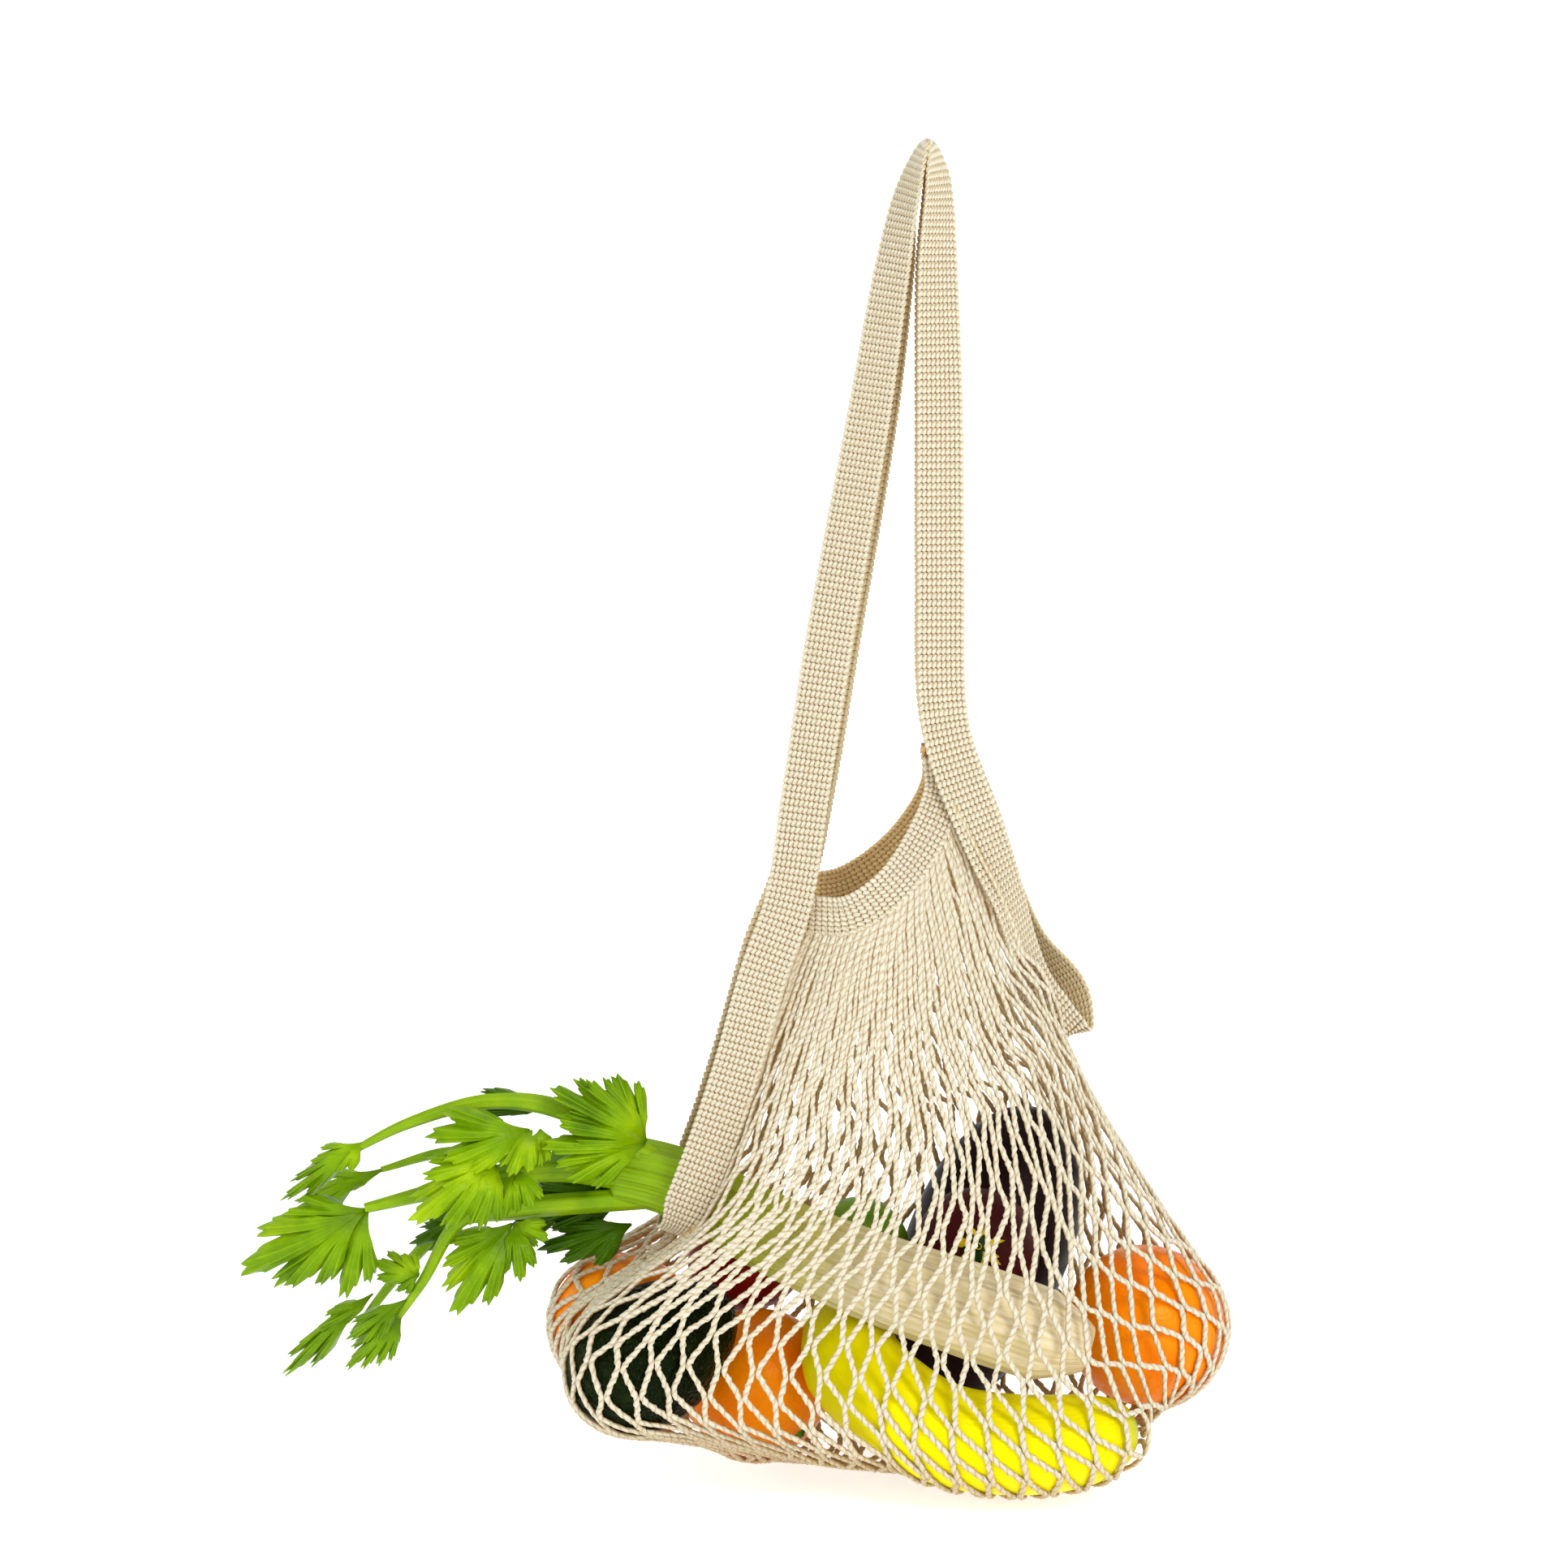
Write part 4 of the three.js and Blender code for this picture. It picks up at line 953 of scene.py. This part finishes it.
def cotton_material(name, light, dark, hollow_shade, turn_rings, inner_place, inner_shade_colour):
    """Cotton yarn, twisted once in a number of a cord's rings, with painted shade: darker and warmer in
    hollows, in the grooves between its plies and on the side at inner_place, plus a faint warm glow for
    light bounced into the shade.
    """
    # Painted light: a faint warm glow lifts the cotton in shade, standing in for light bounced between the
    # cords.
    s = Shader(name, 0.9, Sheen_Weight=0.15, Sheen_Roughness=0.5, Specular_IOR_Level=0.2,
               Emission_Color=srgb(206, 172, 118), Emission_Strength=0.05)
    yarn = s.ramp(s.noise(900, 3), (0.32, dark), (0.62, light))
    # Painted shade: where ambient occlusion finds a hollow, the yarn takes the darker, warmer hollow_shade
    # colour.
    shade = s.ramp(s.noise(900, 3), (0.3, hollow_shade), (0.7, dark))
    body = s.blend(s.openness(0.06), shade, yarn)
    # Painted shade: the grooves between the twisted plies are coloured darker.
    groove_shade = srgb(214, 190, 148)
    plies = s.ramp(s.plies(turn_rings), (0.0, groove_shade), (0.25, WHITE), (0.8, WHITE), (1.0, groove_shade))
    # Painted shade: the side of each cord or stitch at inner_place, the inward-facing side, is coloured
    # darker and warmer.
    from_inside = s.math("PINGPONG", s.math("ADD", s.uv("X"), 1 - inner_place), 0.5)
    inside = s.ramp(from_inside, (0.16, inner_shade_colour), (0.3, WHITE))
    s.colour(s.blend(1.0, s.blend(0.8, body, plies, "MULTIPLY"), inside, "MULTIPLY"))
    s.bump(plies, 0.5, 0.0005)
    s.bump(s.noise(2600, 2), 0.4, 0.0003)
    return s.material


def citrus_material():
    s = Shader("citrus_skin", 0.3, Specular_IOR_Level=0.28, Specular_Tint=(1, 0.7, 0.25, 1))
    tone = s.ramp(s.noise(28, 3), (0.3, srgb(255, 124, 0)), (0.7, srgb(255, 150, 0)))
    # Painted shade: the cell centres, which the bump below sinks into dimples, are coloured darker.
    pit_shade = s.ramp(s.cells(560), (0.0, srgb(226, 170, 90)), (0.3, WHITE))
    s.colour(s.blend(0.3, tone, pit_shade, "MULTIPLY"))
    s.bump(s.cells(560), 0.3, 0.0005)
    s.bump(s.noise(120, 2), 0.3, 0.0012)
    return s.material


def avocado_material():
    s = Shader("avocado_skin", 0.24, Specular_IOR_Level=0.08, Specular_Tint=(0.55, 0.8, 0.35, 1))
    s.colour(s.ramp(s.noise(90, 4), (0.35, srgb(4, 9, 1)), (0.6, srgb(11, 21, 3)), (0.82, srgb(26, 42, 6))))
    s.bump(s.cells(420), 0.8, 0.0014)
    s.bump(s.noise(1400, 2), 0.5, 0.0004)
    return s.material


def smooth_material(name, roughness, dark, light, scale=40):
    s = Shader(name, roughness, Specular_IOR_Level=0.1, Specular_Tint=(1, 0.75, 0.7, 1))
    s.colour(s.ramp(s.noise(scale, 3), (0.3, dark), (0.75, light)))
    s.bump(s.noise(700, 2), 0.08, 0.0004)
    return s.material


def lime_material():
    s = Shader("lime_skin", 0.4, Specular_IOR_Level=0.2)
    s.colour(s.ramp(s.noise(50, 3), (0.3, srgb(82, 126, 10)), (0.75, srgb(126, 164, 28))))
    s.bump(s.cells(700), 0.3, 0.0005)
    return s.material


def banana_material():
    s = Shader("banana_skin", 0.36, Specular_IOR_Level=0.14, Specular_Tint=(1, 0.9, 0.25, 1))
    body = s.ramp(s.uv("Y"), (0.0, srgb(218, 210, 6)), (0.2, srgb(234, 226, 0)), (0.8, srgb(230, 218, 0)),
                  (0.95, srgb(172, 178, 24)), (1.0, srgb(86, 84, 30)))
    specks = s.ramp(s.noise(420, 2), (0.74, WHITE), (0.8, srgb(170, 140, 60)))
    s.colour(s.blend(0.5, body, specks, "MULTIPLY"))
    s.bump(s.noise(14, 2, "UV", (5, 0.6, 1)), 0.25, 0.002)
    return s.material


def celery_material():
    s = Shader("celery_stalk", 0.38, Specular_IOR_Level=0.16)
    body = s.ramp(s.uv("Y"), (0.0, srgb(224, 204, 160)), (0.1, srgb(236, 222, 190)),
                  (0.43, srgb(230, 220, 180)), (0.5, srgb(208, 204, 116)), (0.57, srgb(168, 178, 44)),
                  (0.7, srgb(136, 172, 8)), (1.0, srgb(116, 158, 4)))
    lines = s.noise(60, 3, "UV", (1, 0.05, 1))
    veins = s.ramp(lines, (0.35, srgb(232, 226, 182)), (0.6, WHITE))
    s.colour(s.blend(0.7, body, veins, "MULTIPLY"))
    s.bump(lines, 0.5, 0.0015)
    return s.material


def stem_material():
    s = Shader("celery_stem", 0.34, Specular_IOR_Level=0.14)
    s.colour(s.ramp(s.noise(60, 3), (0.3, srgb(104, 146, 0)), (0.7, srgb(142, 176, 6))))
    s.bump(s.noise(40, 3, "UV", (1, 0.03, 1)), 0.5, 0.001)
    return s.material


def leaf_material(name, dark, middle, light):
    s = Shader(name, 0.34, Specular_IOR_Level=0.22, Specular_Tint=(0.8, 1, 0.4, 1))
    tone = s.ramp(s.noise(34, 4), (0.3, dark), (0.55, middle), (0.8, light))
    base = s.ramp(s.uv("Y"), (0.0, srgb(190, 200, 150)), (0.4, WHITE))
    pale = s.ramp(s.noise(200, 2), (0.3, middle), (0.7, light))
    vein = s.ramp(s.veins(LEAFLET_TEETH), (0.02, srgb(190, 190, 190)), (0.1, srgb(0, 0, 0)))
    s.colour(s.blend(vein, s.blend(0.8, tone, base, "MULTIPLY"), pale))
    s.bump(s.veins(LEAFLET_TEETH), 0.08, 0.0006)
    s.bump(s.noise(420, 3), 0.35, 0.0008)
    return s.material


# Fruit and vegetables

def add_turned(name, outline, centre, axis, lump, material, slot):
    points = turned_points(outline, centre, axis, *FRUIT_MESH, lumps(*lump))
    show(add_mesh(name + "_skin", points, *body_faces(*FRUIT_MESH)), material, slot, name)


def add_bent(name, spine, radius, mesh, lobe, material, slot, node):
    points = spine_points(spine, radius, *mesh, lobe)
    show(add_mesh(name, points, *body_faces(*mesh)), material, slot, node)


def add_star(name, fruit, star, material, slot):
    """Ragged star of small leaves with a stub in its middle, lying on a fruit's end."""
    sunk, size, points, height, seed = star
    radius, centre, axis, form, _ = ROUND_FRUIT[fruit]
    end = np.array(centre) + unit(axis) * (form[0] * radius - sunk)
    count = 8 * points
    turn = 2 * np.pi * np.arange(count) / count
    draw = np.random.default_rng(seed)
    reach = 0.42 + 0.58 * np.abs(np.cos(points * turn / 2)) ** 1.6
    reach = reach * (1 + draw.normal(0, 0.12, count))
    rings = []
    for share, lift in ((0.12, 1.0), (0.16, 0.35), (0.6, 0.2), (1.0, 0.28), (0.98, 0.05), (0.5, -0.3)):
        radius = size * share * np.where(share > 0.3, reach, 1)
        drop = -0.12 * size * (radius / size) ** 2
        rings.append(np.stack([radius * np.sin(turn), height * lift + drop, radius * np.cos(turn)], -1))
    local = np.concatenate([[(0, height, 0)], np.concatenate(rings), [(0, -0.5 * height, 0)]])
    show(add_mesh(name, end + local @ turn_to(axis).T, *body_faces(len(rings), count)), material, slot)


def add_fruit():
    skins = {
        "citrus": citrus_material(),
        "tomato": smooth_material("tomato_skin", 0.4, srgb(110, 16, 8), srgb(150, 30, 12)),
        "red_fruit": smooth_material("red_fruit_skin", 0.5, srgb(48, 8, 10), srgb(78, 18, 20)),
        "lime": lime_material(),
        "avocado": avocado_material(),
        "aubergine": smooth_material("aubergine_skin", 0.42, srgb(14, 3, 4), srgb(34, 12, 16)),
    }
    for name, (radius, centre, axis, form, lump) in ROUND_FRUIT.items():
        kind = "citrus" if name.startswith("citrus") else name
        add_turned(name, round_outline(radius, *form), centre, axis, lump, skins[kind], kind + "_skin")
    for name, (size, centre, axis, lump) in PEARS.items():
        add_turned(name, pear_outline(*size), centre, axis, lump, skins[name], name + "_skin")
    green = smooth_material("calyx_green", 0.6, srgb(40, 90, 18), srgb(96, 150, 40), 300)
    add_star("citrus_front_calyx", "citrus_front", CALYX_STAR, green, "citrus_skin")
    yellow = smooth_material("ring_yellow", 0.5, srgb(206, 168, 20), srgb(240, 216, 30), 400)
    add_star("red_fruit_ring", "red_fruit", RING_STAR, yellow, "red_fruit_skin")
    dark = smooth_material("ring_middle", 0.5, srgb(14, 44, 18), srgb(28, 74, 34), 300)
    add_star("red_fruit_middle", "red_fruit", MIDDLE_STAR, dark, "red_fruit_skin")
    add_bent("banana_skin", BANANA_SPINE, banana_radius, BANANA_MESH, banana_edges,
             banana_material(), "banana_skin", "banana")


def banana_edges(turn, t):
    return 1 + 0.012 * np.cos(5 * turn + 1) * smooth(0.3, 1, t)


def stem_ribs(turn, t):
    return 1 + 0.1 * np.cos(6 * turn)


def celery_ribs(turn, t):
    ribs = 0.07 * np.cos(8 * turn) + 0.018 * np.cos(40 * turn + 3 * t)
    return 1 + smooth(0.02, 0.2, t) * ribs + 0.01 * np.cos(23 * turn)


def leaflet_points(root, tip, half_width, roll, rows, columns):
    """Sheet of one leaflet, a fan of three toothed lobes with a vein to each tooth, and its face's way."""
    root, tip = np.array(root, float), np.array(tip, float)
    length = np.linalg.norm(tip - root)
    along = unit(tip - root)
    across = unit(np.cross(along, (0, -1, 0.25)))
    across = across * math.cos(roll) + np.cross(along, across) * math.sin(roll)
    face = np.cross(across, along)
    u = np.linspace(-1, 1, columns)[None, :]
    r = np.linspace(0.04, 1, rows)[:, None]
    place = (u + 1) / 2 * LEAFLET_TEETH
    tooth = 1 - np.abs(2 * (place % 1) - 1)
    uneven = rng.uniform(0.7, 1.4, LEAFLET_TEETH + 1)[place.astype(int)]
    lobe = np.abs(np.cos(1.5 * np.pi * (u + 0.12 * math.sin(9 * roll)))) ** 0.5
    reach = (1 - 0.36 * np.abs(u) ** 1.5) * (1 - LOBE_DEPTH * (1 - lobe))
    reach = reach * (1 - TOOTH_DEPTH * uneven * (1 - tooth))
    far = length * r * (reach / reach.max()) ** smooth(0.2, 0.8, r)
    angle = math.atan2(1.9 * half_width, 0.8 * length) * u * mix(0.6, 1, smooth(0, 0.5, r))
    wide = far * np.sin(angle)
    ripple = 0.005 * length * r ** 2 * np.cos(2 * np.pi * (place + 0.5))
    fold = 0.25 * np.abs(wide) - 0.2 * wide * np.sin(5 * r + 3 * roll)
    droop = length * (0.1 * np.sin(np.pi * r) - 0.06 * r ** 2)
    return (root + along * (far * np.cos(angle))[..., None] + across * wide[..., None]
            + face * (droop + ripple - fold)[..., None]), face


def add_celery():
    add_bent("celery_head", CELERY_SPINE, celery_radius, CELERY_MESH, celery_ribs,
             celery_material(), "celery_green", "celery")
    stem = stem_material()
    for k, (girth, way) in enumerate(STEMS):
        radius = lambda t: girth * mix(1, 0.28, t) * np.minimum(1, np.sqrt(60 * t + 0.3))
        add_bent(f"celery_stem_{k + 1}", way, radius, STEM_MESH, stem_ribs, stem, "celery_green", "celery")
    bright = leaf_material("celery_leaf", srgb(66, 106, 0), srgb(114, 152, 0), srgb(164, 192, 8))
    # Painted shade: the leaves lying below the others get a darker copy of the leaf material for the shade
    # they lie in.
    deep = leaf_material("celery_leaf_shaded", srgb(34, 66, 0), srgb(62, 100, 0), srgb(100, 140, 4))
    add_leaves("celery_leaves", LEAVES, bright)
    add_leaves("celery_leaves_below", LEAVES_BELOW, deep)


def add_leaves(name, leaves, material):
    columns, rows = 4 * LEAFLET_TEETH + 1, LEAFLET_ROWS
    points, faces, first = [], [], 0
    for root, leaflets in leaves:
        for tip, half_width in leaflets:
            roll = 0.35 * math.sin(2.3 * first)
            sheet, face = leaflet_points(root, tip, half_width, roll, rows, columns)
            for lift in (0.5, -0.5):
                points.append((sheet + face * lift * LEAF_THICKNESS).reshape(-1, 3))
            faces.append(leaf_faces(columns, rows, first))
            first += 2 * columns * rows
    faces = np.concatenate(faces)
    column = faces % (columns * rows) % columns / (columns - 1)
    row = faces % (columns * rows) // columns / (rows - 1)
    show(add_mesh(name, np.concatenate(points), [faces], [np.stack([column, row], -1)]),
         material, "celery_green", "celery")


def leaf_faces(rays, steps, first):
    """Quads of a leaf's two faces and of the wall round its edge."""
    step, ray = np.meshgrid(np.arange(steps - 1), np.arange(rays - 1), indexing="ij")
    at = lambda s, r: first + s * rays + r
    top = grid_quads(at, step, step + 1, ray, ray + 1)
    under = top[:, ::-1] + rays * steps
    loop = np.concatenate([
        at(0, np.arange(rays - 1)), at(np.arange(steps - 1), rays - 1),
        at(steps - 1, np.arange(rays - 1, 0, -1)), at(np.arange(steps - 1, 0, -1), 0),
    ])
    after = np.roll(loop, -1)
    wall = np.stack([after, loop, loop + rays * steps, after + rays * steps], -1)
    return np.concatenate([top, under, wall])


# Stage

def add_stage(floor_z):
    """White floor that curves up into a wall all round."""
    profile = [(FLOOR_RADIUS, 0)]
    for k in range(1, BEND_STEPS + 1):
        turn = math.pi / 2 * k / BEND_STEPS
        profile.append((FLOOR_RADIUS + WALL_BEND * math.sin(turn), WALL_BEND * (1 - math.cos(turn))))
    profile.append((FLOOR_RADIUS + WALL_BEND, WALL_HEIGHT))
    points = [(0, 0, floor_z)]
    for radius, height in profile:
        for k in range(WALL_SIDES):
            turn = 2 * math.pi * k / WALL_SIDES
            points.append((radius * math.cos(turn), radius * math.sin(turn), floor_z + height))
    pairs = [(k, (k + 1) % WALL_SIDES) for k in range(WALL_SIDES)]
    faces = [(0, 1 + k, 1 + after) for k, after in pairs]
    for low in range(1, len(points) - WALL_SIDES, WALL_SIDES):
        high = low + WALL_SIDES
        faces += [(low + k, high + k, high + after, low + after) for k, after in pairs]
    mesh = bpy.data.meshes.new("floor")
    mesh.from_pydata(points, [], faces)
    mesh.polygons.foreach_set("use_smooth", [True] * len(faces))
    paint = Shader("floor_paint", 0.95, Base_Color=(0.85, 0.85, 0.85, 1), Specular_IOR_Level=0.1,
                   Emission_Color=(1, 1, 1, 1), Emission_Strength=FLOOR_GLOW)
    mesh.materials.append(paint.material)
    add_object("floor", mesh)


def add_aimed(name, data, place, way):
    obj = add_object(name, data)
    obj.location = place
    obj.rotation_euler = way.to_track_quat("-Z", "Y").to_euler()
    return obj


def add_lights():
    for name, (place, size, power) in LIGHTS.items():
        data = bpy.data.lights.new(name, "AREA")
        data.shape = "DISK"
        data.size = size
        data.energy = power
        add_aimed(name, data, place, Vector(LIGHT_AIM) - Vector(place))
    world = bpy.data.worlds.new("studio")
    world.use_nodes = True
    background = world.node_tree.nodes["Background"]
    background.inputs["Color"].default_value = (1, 1, 1, 1)
    background.inputs["Strength"].default_value = WORLD_LIGHT
    bpy.context.scene.world = world
    bpy.context.scene.view_settings.view_transform = "Standard"


def add_camera():
    data = bpy.data.cameras.new("camera")
    data.sensor_width = SENSOR_MM
    data.lens = SENSOR_MM * CAMERA_DISTANCE / (FRAME_PIXELS * PIXEL_MM)
    back = Vector((0, -math.cos(CAMERA_ELEVATION), math.sin(CAMERA_ELEVATION)))
    place = Vector(to_frame(CAMERA_TARGET)) + back * CAMERA_DISTANCE * MM
    bpy.context.scene.camera = add_aimed("camera", data, place, -back)


def add_bag():
    light, dark = srgb(206, 202, 184), srgb(196, 190, 168)
    # The third colour of each cotton is its painted hollow shade and the last its painted shade on the
    # inner side; the back knit is a copy with warmer painted shade on the back layers' inner faces.
    cord = cotton_material("cotton_cord", light, dark, srgb(186, 152, 100), CORD_TURN_RINGS, OUT_PLACE,
                           srgb(238, 214, 170))
    knit = cotton_material("cotton_knit", light, dark, srgb(198, 172, 126), KNIT_RINGS, IN_PLACE,
                           srgb(250, 240, 218))
    knit_back = cotton_material("cotton_knit_back_shaded", light, dark, srgb(204, 174, 124), KNIT_RINGS, OUT_PLACE,
                                srgb(252, 226, 180))
    # Painted shade: the core sheet's dark colours stand for the shade seen through the knit's holes.
    core = cotton_material("cotton_hole_shade", srgb(150, 116, 72), srgb(130, 98, 56), srgb(112, 78, 40),
                           KNIT_RINGS, IN_PLACE, WHITE)
    add_bands(knit, knit_back, core)
    add_net(cord)


add_camera()
add_lights()
add_fruit()
add_celery()
add_bag()
bpy.context.view_layer.update()
visual_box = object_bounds()
add_stage(visual_box[0].z)
